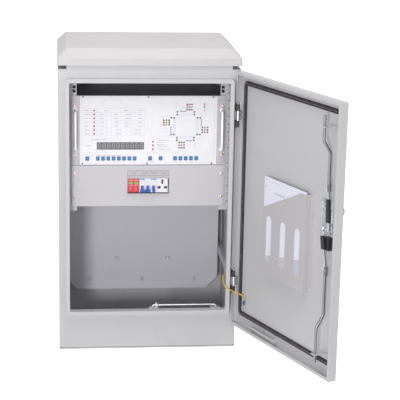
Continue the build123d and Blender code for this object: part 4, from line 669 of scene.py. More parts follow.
class PieceTree:
    """A Geometry Nodes tree with named inputs, run on a mesh of points or edges."""

    def __init__(self, title: str, source: str, inputs: dict[str, str], result: str) -> None:
        """Starts the tree.

        Args:
            title: its name.
            source: the name of the geometry it is run on.
            inputs: the kind of each further input, by its name.
            result: the name of the geometry it gives.
        """
        self.tree = bpy.data.node_groups.new(title, "GeometryNodeTree")
        face = self.tree.interface
        for name, kind in ((source, "Geometry"), *inputs.items()):
            face.new_socket(name, in_out="INPUT", socket_type=f"NodeSocket{kind}")
        face.new_socket(result, in_out="OUTPUT", socket_type="NodeSocketGeometry")
        self.sockets = {
            item.name: item.identifier for item in face.items_tree if item.in_out == "INPUT"
        }
        self.given = self.tree.nodes.new("NodeGroupInput")
        self.out = self.tree.nodes.new("NodeGroupOutput")

    def skinned(self, geometry: bpy.types.NodeSocket) -> None:
        """Makes the geometry real, sets its finish and gives it out."""
        new, link = self.tree.nodes.new, self.tree.links.new
        real, skin = new("GeometryNodeRealizeInstances"), new("GeometryNodeSetMaterial")
        link(geometry, real.inputs["Geometry"])
        link(real.outputs["Geometry"], skin.inputs["Geometry"])
        link(self.given.outputs["Finish"], skin.inputs["Material"])
        link(skin.outputs["Geometry"], self.out.inputs[0])

    def run(self, source: bpy.types.Mesh, values: dict[str, object]) -> bpy.types.Mesh:
        """Runs the tree.

        Args:
            source: the points or edges.
            values: each input's value, by its name; objects among them are removed after it.

        Returns:
            One plain mesh.
        """
        holder = placed(source.name, source)
        modifier = holder.modifiers.new(self.tree.name, "NODES")
        modifier.node_group = self.tree
        for name, value in values.items():
            modifier[self.sockets[name]] = value
        return baked(holder, *(v for v in values.values() if isinstance(v, bpy.types.Object)))


class Repeater(PieceTree):
    """Sets one pattern piece on each of many points."""

    def __init__(self) -> None:
        """Builds the tree."""
        inputs = {"Pattern piece": "Object", "Spin": "Float", "Seed": "Int", "Finish": "Material"}
        super().__init__("set_on_points", "Places", inputs, "Pieces")
        new, link, given = self.tree.nodes.new, self.tree.links.new, self.given
        pattern = new("GeometryNodeObjectInfo")
        spin = new("FunctionNodeRandomValue")
        spin.data_type = "FLOAT"
        turn = new("ShaderNodeCombineXYZ")
        place = new("GeometryNodeInstanceOnPoints")
        link(given.outputs["Pattern piece"], pattern.inputs["Object"])
        link(given.outputs["Spin"], spin.inputs[3])
        link(given.outputs["Seed"], spin.inputs["Seed"])
        link(spin.outputs[1], turn.inputs["Y"])
        link(given.outputs["Places"], place.inputs["Points"])
        link(pattern.outputs["Geometry"], place.inputs["Instance"])
        link(turn.outputs["Vector"], place.inputs["Rotation"])
        self.skinned(place.outputs["Instances"])

    def make(
        self,
        pattern: bpy.types.Mesh,
        places: Iterable[Sequence[float]],
        finish: Finish,
        spin: float = 0.0,
        seed: int = 1,
    ) -> bpy.types.Mesh:
        """Runs the tree.

        Args:
            pattern: the mesh to repeat.
            places: the points, in the same drawing.
            finish: the finish it sets.
            spin: the largest random turn about the depth axis, in radians.
            seed: the seed of those turns.

        Returns:
            One plain mesh of all the copies.
        """
        points = bpy.data.meshes.new("places")
        points.from_pydata([tuple(place) for place in places], [], [])
        sample = placed("pattern", pattern)
        values = {"Pattern piece": sample, "Spin": spin, "Seed": seed, "Finish": finish.build()}
        return self.run(points, values)


class Sweeper(PieceTree):
    """Draws a profile along a closed, filleted path."""

    corner_steps: int = 6

    def __init__(self) -> None:
        """Builds the tree."""
        inputs = {"Profile": "Object", "Corner": "Float", "Corner steps": "Int"}
        super().__init__("sweep_round", "Path", {**inputs, "Finish": "Material"}, "Strip")
        new, link, given = self.tree.nodes.new, self.tree.links.new, self.given
        path = new("GeometryNodeMeshToCurve")
        corner = new("GeometryNodeFilletCurve")
        corner.mode = "POLY"
        profile = new("GeometryNodeObjectInfo")
        strip = new("GeometryNodeCurveToMesh")
        link(given.outputs["Path"], path.inputs["Mesh"])
        link(path.outputs["Curve"], corner.inputs["Curve"])
        link(given.outputs["Corner"], corner.inputs["Radius"])
        link(given.outputs["Corner steps"], corner.inputs["Count"])
        link(corner.outputs["Curve"], strip.inputs["Curve"])
        link(given.outputs["Profile"], profile.inputs["Object"])
        link(profile.outputs["Geometry"], strip.inputs["Profile Curve"])
        self.skinned(strip.outputs["Mesh"])

    def make(
        self, corners: Sequence[Point], profile: Sequence[Spot], corner: float, finish: Finish
    ) -> bpy.types.Mesh:
        """Runs the tree.

        Args:
            corners: the path's corners, in order, in one drawing.
            profile: the closed profile, across and out from the path.
            corner: the radius of the path's corners.
            finish: the finish it sets.

        Returns:
            The strip as one plain mesh.
        """
        path = bpy.data.meshes.new("path")
        count = len(corners)
        path.from_pydata(corners, [(number, (number + 1) % count) for number in range(count)], [])
        curve = bpy.data.curves.new("profile", "CURVE")
        curve.dimensions = "3D"
        spline = curve.splines.new("POLY")
        spline.points.add(len(profile) - 1)
        for point, (across, out) in zip(spline.points, profile):
            point.co = (across, out, 0, 1)
        spline.use_cyclic_u = True
        values = {"Profile": placed("profile", curve), "Corner": corner}
        values |= {"Corner steps": self.corner_steps, "Finish": finish.build()}
        return self.run(path, values)


def cad_mesh(node: str) -> bpy.types.Mesh:
    """A merged copy of a CAD node's mesh, with its flat faces joined up."""
    shape = bmesh.new()
    shape.from_mesh(frame["nodes"][node].data)
    bmesh.ops.remove_doubles(shape, verts=shape.verts, dist=2e-6)
    bmesh.ops.dissolve_limit(
        shape, angle_limit=math.radians(0.8), verts=shape.verts, edges=shape.edges, delimit=set()
    )
    mesh = bpy.data.meshes.new(node)
    shape.to_mesh(mesh)
    shape.free()
    return mesh


BODY_OF = {
    node: body
    for body, nodes in frame["record"]["behaviour"]["bodies"].items()
    for node in nodes
}


def refine(
    node: str, finish: Finish, edge: float, paint_faces: Callable[[Vector], Finish] | None = None
) -> bpy.types.Object:
    """Replaces a CAD node with a copy of itself that has soft edges and a finish.

    Args:
        node: the node.
        finish: its finish.
        edge: the rounding of its edges in millimetres, or none.
        paint_faces: gives a face's finish by its centre in millimetres, where there are more.

    Returns:
        The piece.
    """
    mesh = cad_mesh(node)
    crease(mesh)
    if edge:
        mesh = with_soft_edges(mesh, edge * MM)
    mesh.materials.clear()
    mesh.materials.append(finish.build())
    if paint_faces:
        for face in mesh.polygons:
            other = paint_faces(face.center / MM)
            if other is not finish:
                skin = other.build()
                if skin.name not in mesh.materials:
                    mesh.materials.append(skin)
                face.material_index = mesh.materials.find(skin.name)
    piece = stand(mesh, f"{node}_dressed", finish, BODY_OF[node])
    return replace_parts(piece, node)


def dress_node(node: str, finish: Finish) -> None:
    """Gives a CAD node that stays as it is its finish."""
    piece = frame["nodes"][node]
    piece.data.materials.clear()
    piece.data.materials.append(finish.build())
    log.info("%s: dressed on %s", node, BODY_OF[node])


@dataclass
class Enclosure:
    """The painted shell, roof and door with what is welded or bolted to them."""

    painted: dict[str, float] = field(
        default_factory=lambda: {
            "cabinet_body": 0.9,
            "roof_neck": 0.4,
            "door_pan": 0.8,
            "stay_catch": 0.3,
            "rod_guides": 0.3,
            "side_bars": 0.3,
        }
    )
    hole_middle: float = 232.65
    hole_half: float = 5.2
    hole_depths: Spot = (45.2, 46.8)

    def rail_skin(self, centre: Vector) -> Finish:
        """Painted shade on the cut edges of the rails' square holes, so they show as dark holes;
        zinc elsewhere.
        """
        near, far = self.hole_depths
        cut = near < centre.y + BODY_HALF_DEPTH < far
        inside = abs(abs(centre.x) - self.hole_middle) < self.hole_half
        return RAIL_HOLE_SHADE if cut and inside else GALVANISED

    def foot_seam(self) -> None:
        """Draws the sealed seam above the floor, with a spot at each end."""
        seam = Mould().slab(box_outline(-281.0, 281.0, 4.2, 5.6), -0.12, 0.05)
        for x in (-279.0, 279.0):
            seam.slab(circle((x, 7.0), 1.8, 12), -0.14, 0.05)
        cast(seam, "foot_seam", SEAM, "cabinet", Side.FRONT)

    def build(self) -> None:
        """Makes every piece of the shell."""
        for node, edge in self.painted.items():
            refine(node, ENCLOSURE, edge)
        refine("roof", ROOF, 1.2)
        for node in ("rack_rail_left", "rack_rail_right"):
            # The edges of the rails' holes take painted shade.
            refine(node, GALVANISED, 0.0, self.rail_skin)
        refine("mounting_plate", PLATE, 0.3)
        for node in ("plate_standoffs", "hinge_pins", "hinge_leaves", "hinge_nuts"):
            refine(node, ZINC, 0.25)
        refine("plate_nuts", NUTS, 0.3)
        self.foot_seam()
        refine("hinge_blocks", BLACK_PAINT, 0.6)


@dataclass
class RackFronts:
    """The two rack panels: the controller's printed face above, the distribution panel below.

    Places are in the front's drawing, in millimetres from the cabinet's middle and its foot, and
    depths run in from the body's front.
    """

    face: float = 41.4
    ink: float = 0.05
    sunk: float = 0.02
    screw_x: float = 232.6
    screw_seat: float = 42.0
    screw_heights: tuple[float, ...] = (788.0, 632.0, 571.0, 495.0)
    lamp_radius: float = 2.9
    junction_centre: Spot = (116.7, 723.2)
    row_tops: tuple[float, ...] = tuple(778.9 - 12.3 * number for number in range(8))
    row_dividers: tuple[tuple[float, ...], ...] = (
        (-101.9, -86.8, -55.2, -40.8),
        *[(-131.8, -116.7, -86.8, -40.8)] * 2,
        *[(-131.8, -116.7, -86.8, -55.2, -40.8)] * 2,
        *[(-131.8, -116.7, -70.7, -55.2)] * 2,
    )
    key_height: float = 619.75
    first_key: float = -192.0
    digit_keys: tuple[float, ...] = tuple(-159.1 + 16.5 * number for number in range(8))
    middle_keys: Spot = (5.4, 38.5)
    phase_keys: tuple[float, ...] = tuple(84.5 + 16.75 * number for number in range(5))
    repeater: Repeater = field(default_factory=Repeater)

    @property
    def depths(self) -> Spot:
        """The near and the far depth of a printed mark."""
        return self.face - self.ink, self.face + self.sunk

    def line(self, mould: Mould, start: Spot, end: Spot, width: float) -> None:
        """Prints an upright or level line."""
        half = width / 2
        left, right = min(start[0], end[0]) - half, max(start[0], end[0]) + half
        bottom, top = min(start[1], end[1]) - half, max(start[1], end[1]) + half
        mould.slab(box_outline(left, right, bottom, top), *self.depths)

    def printed(self, name: str, finish: Finish, mould: Mould) -> None:
        """Stands a printed layer of the overlay."""
        cast(mould, name, finish, "cabinet", Side.FRONT)

    def repeated(
        self,
        name: str,
        finish: Finish,
        pattern: bpy.types.Mesh,
        places: Iterable[Point],
        spin: float = 0.0,
        seed: int = 1,
    ) -> bpy.types.Object:
        """Stands copies of a pattern on the cabinet's front.

        Args:
            name: the piece's name.
            finish: its finish.
            pattern: the mesh to repeat.
            places: where the copies go, in the front's drawing.
            spin: the largest random turn of a copy, in radians.
            seed: the seed of those turns.

        Returns:
            The piece.
        """
        mesh = self.repeater.make(pattern, places, finish, spin, seed)
        mesh.transform(front_place())
        return stand(mesh, name, finish, "cabinet")

    def table_lines(self, lines: Mould) -> None:
        """Prints the status table's lines and the overlay's edge and boxes."""
        left, lamps, cells, right = -205.0, -178.4, -161.8, -12.4
        tops = self.row_tops
        for height in tops:
            self.line(lines, (left, height), (right, height), 0.45)
        for x in (lamps, cells, right):
            self.line(lines, (x, tops[-1]), (x, tops[0]), 0.45)
        for top, bottom, marks in zip(tops, tops[1:], self.row_dividers):
            for x in marks:
                self.line(lines, (x, bottom), (x, top), 0.45)
        for sides, ends, width in (
            ((-208.5, 207.0), (604.5, 814.0), 0.5),
            ((-200.0, -112.0), (676.0, 685.0), 0.4),
        ):
            for x in sides:
                self.line(lines, (x, ends[0]), (x, ends[1]), width)
            for z in ends:
                self.line(lines, (sides[0], z), (sides[1], z), width)
        for start, end in ((left, -128.0), (right, 79.0)):
            self.line(lines, (start, 640.5), (end, 640.5), 0.4)

    def table_figures(self, words: Mould) -> None:
        """Prints figures in the status table's cells."""
        cells, right, narrow, figure_width = -161.8, -12.4, 18, 5
        rows = zip(self.row_tops, self.row_tops[1:], self.row_dividers)
        for number, (top, bottom, marks) in enumerate(rows, 1):
            middle = (top + bottom) / 2
            words.figures(f"{number:02d}000 00", (-191.5, middle), 3.4, self.face)
            stops = (cells, *marks, right)
            for start, end in zip(stops, stops[1:]):
                if end - start > narrow:
                    text = "0" * min(8, round((end - start) / figure_width))
                    words.figures(text, ((start + end) / 2, middle), 3.2, self.face)

    def key_figures(self, words: Mould) -> None:
        """Prints a figure under each key."""
        height = 609.4
        for number, x in enumerate((self.first_key, *self.digit_keys)):
            words.figures(str(number) if number % 2 else "000", (x, height), 2.4, self.face)
        for text, x, size in zip(("0000000 00000000", "00"), self.middle_keys, (2.6, 2.4)):
            words.figures(text, (x, height), size, self.face)
        for number, x in enumerate(self.phase_keys, 1):
            words.figures(f"{number:02d}", (x, height), 2.4, self.face)

    def table(self) -> None:
        """Prints the controller's table, boxes and figures."""
        lines, words, red = Mould(), Mould(), Mould()
        self.table_lines(lines)
        self.printed("overlay_lines", LINE_INK, lines)
        self.table_figures(words)
        lamp_rows = ((677.0, 20), (671.6, 11), (664.4, 12), (659.0, 18), (649.1, 21))
        for number, (z, count) in enumerate(lamp_rows, 1):
            words.figures(f"{number:0{count}d}", (20.5 + count * 1.32, z), 2.6, self.face)
        for text, spot, size in (
            ("00000 0000000 00 000000 0000", (-156.0, 680.5), 2.8),
            ("0000000 0", (-188.5, 660.3), 3.2),
            ("0", (-100.8, 686.5), 4.0),
        ):
            words.figures(text, spot, size, self.face)
        self.key_figures(words)
        self.printed("overlay_figures", TEXT_INK, words)
        self.line(red, (-164.8, 629.8), (-87.9, 629.8), 1.3)
        self.printed("overlay_red_line", RED_INK, red)

    def crossroads(self) -> None:
        """Prints the crossroads, its stop bars and the north arrow."""
        cx, cz = self.junction_centre
        depths = self.depths
        roads, bars, arrow, lines = Mould(), Mould(), Mould(), Mould()
        for outline in (
            box_outline(90.3, 143.3, 758.0, 765.0),
            box_outline(90.3, 143.3, 2 * cz - 765.0, 2 * cz - 758.0),
            box_outline(76.5, 83.5, 696.7, 749.7),
            box_outline(2 * cx - 83.5, 2 * cx - 76.5, 696.7, 749.7),
        ):
            roads.slab(outline, *depths)
        for outline in (
            box_outline(96.0, 118.0, 769.4, 772.0),
            box_outline(116.0, 138.0, 674.8, 677.4),
            box_outline(68.6, 71.2, 700.0, 722.0),
            box_outline(164.4, 167.0, 724.0, 746.0),
        ):
            bars.slab(outline, *depths)
        middle, wing = 174.5, 3.9
        for z in (781.5, 789.5):
            head = [(middle - wing, z), (middle, z + 2.2), (middle + wing, z), (middle, z + 8.0)]
            arrow.slab(head, *depths)
        self.line(lines, (middle, 769.0), (middle, 780.0), 1.4)
        self.line(lines, (middle - 3.0, 774.0), (middle + 3.0, 774.0), 1.2)
        for x in (88.0, 2 * cx - 88.0):
            self.line(lines, (x, 772.0), (x, 798.0), 0.4)
            self.line(lines, (x, 674.5), (x, 648.5), 0.4)
        for z in (754.5, 2 * cz - 754.5):
            self.line(lines, (40.0, z), (68.0, z), 0.4)
            self.line(lines, (165.5, z), (193.5, z), 0.4)
        for x in (100.0, 106.0, 112.0):
            self.line(lines, (x, 775.0), (x + 0.2, 790.0), 0.35)
            self.line(lines, (2 * cx - x, 656.0), (2 * cx - x, 671.0), 0.35)
        for z in (705.0, 711.0, 717.0):
            self.line(lines, (47.0, z), (62.0, z), 0.35)
            self.line(lines, (171.5, 2 * cz - z), (186.5, 2 * cz - z), 0.35)
        outer = rounded((cx, cz), (67.0, 67.0), 7.0, 1)
        inner = rounded((cx, cz), (66.0, 66.0), 6.6, 1)
        lines.frame(outer, inner, *depths)
        self.printed("junction_roads", ROAD_INK, roads)
        self.printed("junction_bars", TEXT_INK, bars)
        self.printed("north_arrow", DARK_INK, arrow)
        self.printed("junction_lines", LINE_INK, lines)

    def junction_lamps(self) -> None:
        """Sets the lamps at the crossings and in three rows on each arm."""
        red = [(89.6, 769.1), (143.1, 769.1), (70.8, 750.0), (161.8, 750.0)]
        red += [(70.6, 696.5), (161.5, 696.5), (88.9, 677.7), (142.8, 677.7)]
        green = [(89.6, 760.4), (143.1, 760.4), (79.3, 750.0), (153.4, 750.0)]
        green += [(79.2, 696.5), (153.0, 696.5), (88.9, 686.2), (142.8, 686.2)]
        colours = (
            ("junction_red_lamps", RED_LAMP, red),
            ("junction_yellow_lamps", YELLOW_LAMP, []),
            ("junction_green_lamps", GREEN_LAMP, green),
        )
        arms = (
            (True, (120.2, 127.4, 134.8), (792.2, 784.0, 775.6)),
            (False, (742.1, 735.0, 727.9), (47.0, 55.5, 63.9)),
            (False, (719.1, 711.0, 703.4), (185.5, 177.0, 168.7)),
            (True, (96.6, 104.0, 111.9), (653.9, 662.5, 671.0)),
        )
        for number, (name, finish, spots) in enumerate(colours):
            for upright, across, rows in arms:
                row = rows[number]
                spots += [(place, row) if upright else (row, place) for place in across]
            self.lamps(name, finish, spots)

    def lamps(self, name: str, finish: Finish, spots: Sequence[Spot]) -> bpy.types.Object:
        """Sets a domed lamp at each spot on the overlay."""
        radius = self.lamp_radius
        profile = [(0, -0.9), (radius * 0.55, -0.75), (radius * 0.9, -0.35), (radius, 0)]
        pattern = Mould().turned((0, 0), [*profile, (radius, 0.3)], 14).done()
        crease(pattern, 60.0)
        return self.repeated(name, finish, pattern, [(x, self.face, z) for x, z in spots])

    def readout(self) -> None:
        """Sets ten seven-segment figures behind the smoked window."""
        refine("readout_window", WINDOW, 0.25)
        tall, wide, thick, gap = 14.0, 8.2, 1.5, 0.35
        half = thick / 2
        first, pitch, height, depth = -154.1, 14.67, 660.3, self.face - 0.8
        places = [(first + pitch * number, depth, height) for number in range(10)]
        levels = [(0, z) for z in (tall / 2, 0, -tall / 2)]
        uprights = [(x, z) for z in (tall / 4, -tall / 4) for x in (-wide / 2, wide / 2)]
        pattern = Mould()
        for x, z in levels + uprights:
            level = (x, z) in levels
            reach = (wide if level else tall / 2) / 2 - gap
            outline = [(-reach, 0), (half - reach, -half), (reach - half, -half)]
            outline += [(reach, 0), (reach - half, half), (half - reach, half)]
            if not level:
                outline = [(-b, a) for a, b in outline]
            pattern.slab([(x + a, z + b) for a, b in outline], -0.08, 0.05)
        self.repeated("readout_figures", SEGMENT, pattern.done(), places)

    def key_crosses(self) -> None:
        """Presses the shallow cross that parts each key into four."""
        near, far, half = 40.52, 40.62, 0.35
        cross = Mould().slab(box_outline(-half, half, -5.6, 5.6), near, far)
        cross.slab(box_outline(-4.9, 4.9, -half, half), near - 0.01, far)
        keys = (self.first_key, *self.middle_keys, *self.digit_keys, *self.phase_keys)
        places = [(x, 0.0, self.key_height) for x in keys]
        self.repeated("key_crosses", KEY_CROSS, cross.done(), places)

    def screws(self) -> None:
        """Sets cross-recessed pan heads with washers at the panels' corners."""
        profile = [(0, -4.2), (2.6, -4.0), (4.6, -3.0), (5.4, -1.6), (5.5, -0.9), (6.5, -0.9)]
        head = Mould().turned((0, 0), [*profile, (6.6, -0.7), (6.6, 0.2)], 28).done()
        cut_cross(head, half=0.62, reach=2.6, front=-4.3, floor=-2.4)
        crease(head, 34.0)
        columns = (-self.screw_x, self.screw_x)
        places = [(x, self.screw_seat, z) for x in columns for z in self.screw_heights]
        piece = self.repeated("panel_screws", SCREWS, head, places, spin=math.pi, seed=7)
        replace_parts(piece, "rack_screws")

    def small_screws(self) -> None:
        """Sets the overlay's small screws along its top and bottom edges."""
        profile = [(0, -1.0), (1.8, -0.9), (2.8, -0.2), (2.8, 0.2)]
        head = Mould().turned((0, 0), profile, 18).done()
        crease(head, 40.0)
        edges = ((815.6, (-205.0, -2.0, 202.0)), (603.2, (-207.5, -4.0, 200.0)))
        places = [(x, self.face, z) for z, row in edges for x in row]
        self.repeated("overlay_screws", DULL_STEEL, head, places, spin=math.pi, seed=3)

    def status_lamps(self) -> None:
        """Sets the lamps of the status table and the three beside the readout."""
        table_column, readout_column, top, pitch = -170.7, 13.9, 772.7, 12.3
        spots = [(table_column, top - pitch * row) for row in range(7)]
        spots += [(readout_column, z) for z in (673.9, 661.5, 649.1)]
        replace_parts(self.lamps("status_lamp_domes", RED_LAMP, spots), "status_lamps")

    def build(self) -> None:
        """Makes both panels and all that is on them."""
        refine("controller_panel", PANEL, 0.5)
        refine("distribution_panel", FRONT_SHEET, 0.6)
        dress_node("controller_case", CASE)
        refine("controller_overlay", FILM, 0.15)
        refine("key_blisters", KEYS, 0.35)
        self.key_crosses()
        self.status_lamps()
        refine("controller_grips", CHROME, 0.4)
        self.readout()
        self.table()
        self.crossroads()
        self.junction_lamps()
        self.screws()
        self.small_screws()


def cut_cross(mesh: bpy.types.Mesh, half: float, reach: float, front: float, floor: float) -> None:
    """Sinks a cross recess into a screw head.

    Args:
        mesh: the head, its axis along the depth.
        half: half the width of each arm.
        reach: the length of each arm from the axis.
        front: a depth in front of the head.
        floor: the depth of the recess's floor.
    """
    outline = []
    for turn in range(4):
        cosine, sine = math.cos(turn * math.pi / 2), math.sin(turn * math.pi / 2)
        for x, z in ((reach, half), (half, half), (half, reach)):
            outline.append((x * cosine - z * sine, x * sine + z * cosine))
    cutter = placed("cutter", Mould().slab(outline, front, floor).done())
    holder = placed("head", mesh.copy())
    cut = holder.modifiers.new("recess", "BOOLEAN")
    cut.operation = "DIFFERENCE"
    cut.solver = "EXACT"
    cut.object = cutter
    shape = bmesh.new()
    shape.from_mesh(baked(holder, cutter))
    shape.to_mesh(mesh)
    shape.free()


@dataclass
class Devices:
    """The devices in the distribution panel's window, and the label strip over them."""

    nose: float = 37.0
    noses: Spot = (510.6, 554.4)
    label_height: float = 571.7

    def marks(self) -> None:
        """Prints the windows, figures and stripes on the device fronts."""
        near, far = self.nose - 0.06, self.nose + 0.02
        low, high = self.noses
        surge_lefts, joints, first_row, row_pitch = (-62.4, -44.2), (-10.0, -46.0), 525.0, 3.0
        green, pale, sky, dark = Mould(), Mould(), Mould(), Mould()
        for left in surge_lefts:
            green.slab(rounded((left + 6.8, 541.2), (12.6, 6.2), 0.8), near - 0.1, far)
            for z in (549.2, 533.0):
                pale.figures("0880", (left + 6.6, z), 5.0, self.nose)
            for row in range(4):
                foot = first_row - row_pitch * row
                pale.slab(box_outline(left + 2.0, left + 10.0 - row, foot, foot + 0.7), near, far)
        for left, right in ((-27.2, -10.8), (9.0, 25.6)):
            sky.slab(box_outline(left, right, 551.0, 554.8), near, far)
        for x in (-19.0, -1.0, 17.3):
            dark.slab(circle((x, 545.6), 1.1, 12), near, far)
            pale.slab(box_outline(x - 4.0, x + 1.5, 540.0, 540.6), near, far)
        for joint in joints:
            dark.slab(box_outline(joint - 0.2, joint + 0.2, low, high), near + 0.02, far)
        for name, finish, mould in (
            ("surge_windows", GREEN_INK, green),
            ("device_figures", PALE_INK, pale),
            ("breaker_stripes", SKY_INK, sky),
            ("device_marks", TEXT_INK, dark),
        ):
            cast(mould, name, finish, "cabinet", Side.FRONT)

    def label_strip(self) -> None:
        """Frames four blank fields on the strip over the window, with a figure in each."""
        refine("label_holder", PANEL, 0.4)
        face, high, border = 40.8, 13.4, 1.5
        near, far = face - 0.12, face + 0.02
        fields = ((-58.9, -32.7), (-23.3, 1.3), (7.0, 30.0), (35.7, 59.7))
        boxes, words = Mould(), Mould()
        for number, (left, right) in enumerate(fields, 1):
            middle, wide = ((left + right) / 2, self.label_height), right - left
            outer = rounded(middle, (wide, high), 3.0)
            boxes.frame(outer, rounded(middle, (wide - border, high - border), 2.4), near, far)
            words.figures(f"0{number} 80", middle, 4.8, face)
        outer = box_outline(-66.6, 65.6, 562.9, 580.6)
        boxes.frame(outer, box_outline(-65.2, 64.2, 564.3, 579.2), near, far)
        cast(boxes, "label_fields", FIELD_INK, "cabinet", Side.FRONT)
        cast(words, "label_figures", TITLE_INK, "cabinet", Side.FRONT)

    def socket(self) -> None:
        """Dresses the outlet, with dark shutters on the floor of its recesses."""

        def skin(centre: Vector) -> Finish:
            """Brown on the recesses' floors and walls, white elsewhere."""
            inside = 0.3 < centre.y + BODY_HALF_DEPTH - self.nose < 3.3
            sides = [abs(centre.x - x) for x in (27.15, 62.85)]
            ends = [abs(centre.z - z) for z in (510.0, 555.0)]
            return SHUTTER if inside and min(sides + ends) > 1.0 else WHITE_CASE

        refine("socket_outlet", WHITE_CASE, 0.3, skin)
        near, far, middle = self.nose - 0.08, self.nose + 0.02, 45.0
        slots = Mould()
        for z, radius in ((548.8, 3.6), (540.6, 3.2)):
            slots.slab(circle((middle, z), radius, 16), near, far)
        slots.slab(box_outline(middle - 1.5, middle + 1.5, 540.0, 551.0), near - 0.02, far)
        wedge = [(5.4, -2.2), (9.5, -5.0), (16.6, -0.6), (16.6, 1.8), (9.5, 4.6), (5.4, 3.0)]
        for side in (-1, 1):
            points = [(middle + side * x, 526.6 + z) for x, z in wedge]
            slots.slab(points[::side], near, far)
        cast(slots, "socket_slots", SHUTTER, "cabinet", Side.FRONT)

    def trim(self) -> None:
        """Lines the window's top and left edges, where the devices stand off from the panel, and
        lays a black strip along its bottom edge as painted shadow.
        """
        left, right, top = -67.0, 66.0, 555.3
        liner = Mould()
        liner.slab(box_outline(left, right, top, 558.0), 37.6, 45.0)
        liner.slab(box_outline(left, -64.9, 507.0, top), 38.4, 45.0)
        cast(liner, "window_trim", FRONT_SHEET, "cabinet", Side.FRONT, 0.2)
        # A black strip along the window's bottom edge is painted shadow.
        shadow = Mould().slab(box_outline(-66.0, 66.0, 506.6, 508.4), 37.2, 44.0)
        cast(shadow, "window_sill", BLACK_PLASTIC, "cabinet", Side.FRONT, 0.2)

    def build(self) -> None:
        """Makes the devices, rail and strip."""
        refine("surge_protector", RED_CASE, 0.6)
        for breaker in ("breaker_twin", "breaker_single"):
            refine(breaker, WHITE_CASE, 0.6)
        for breaker in ("breaker_twin", "breaker_single"):
            refine(f"{breaker}_toggle", TOGGLE, 0.5)
        self.socket()
        self.trim()
        self.marks()
        self.label_strip()
        for node in ("din_rail", "din_rail_brackets"):
            dress_node(node, GALVANISED)


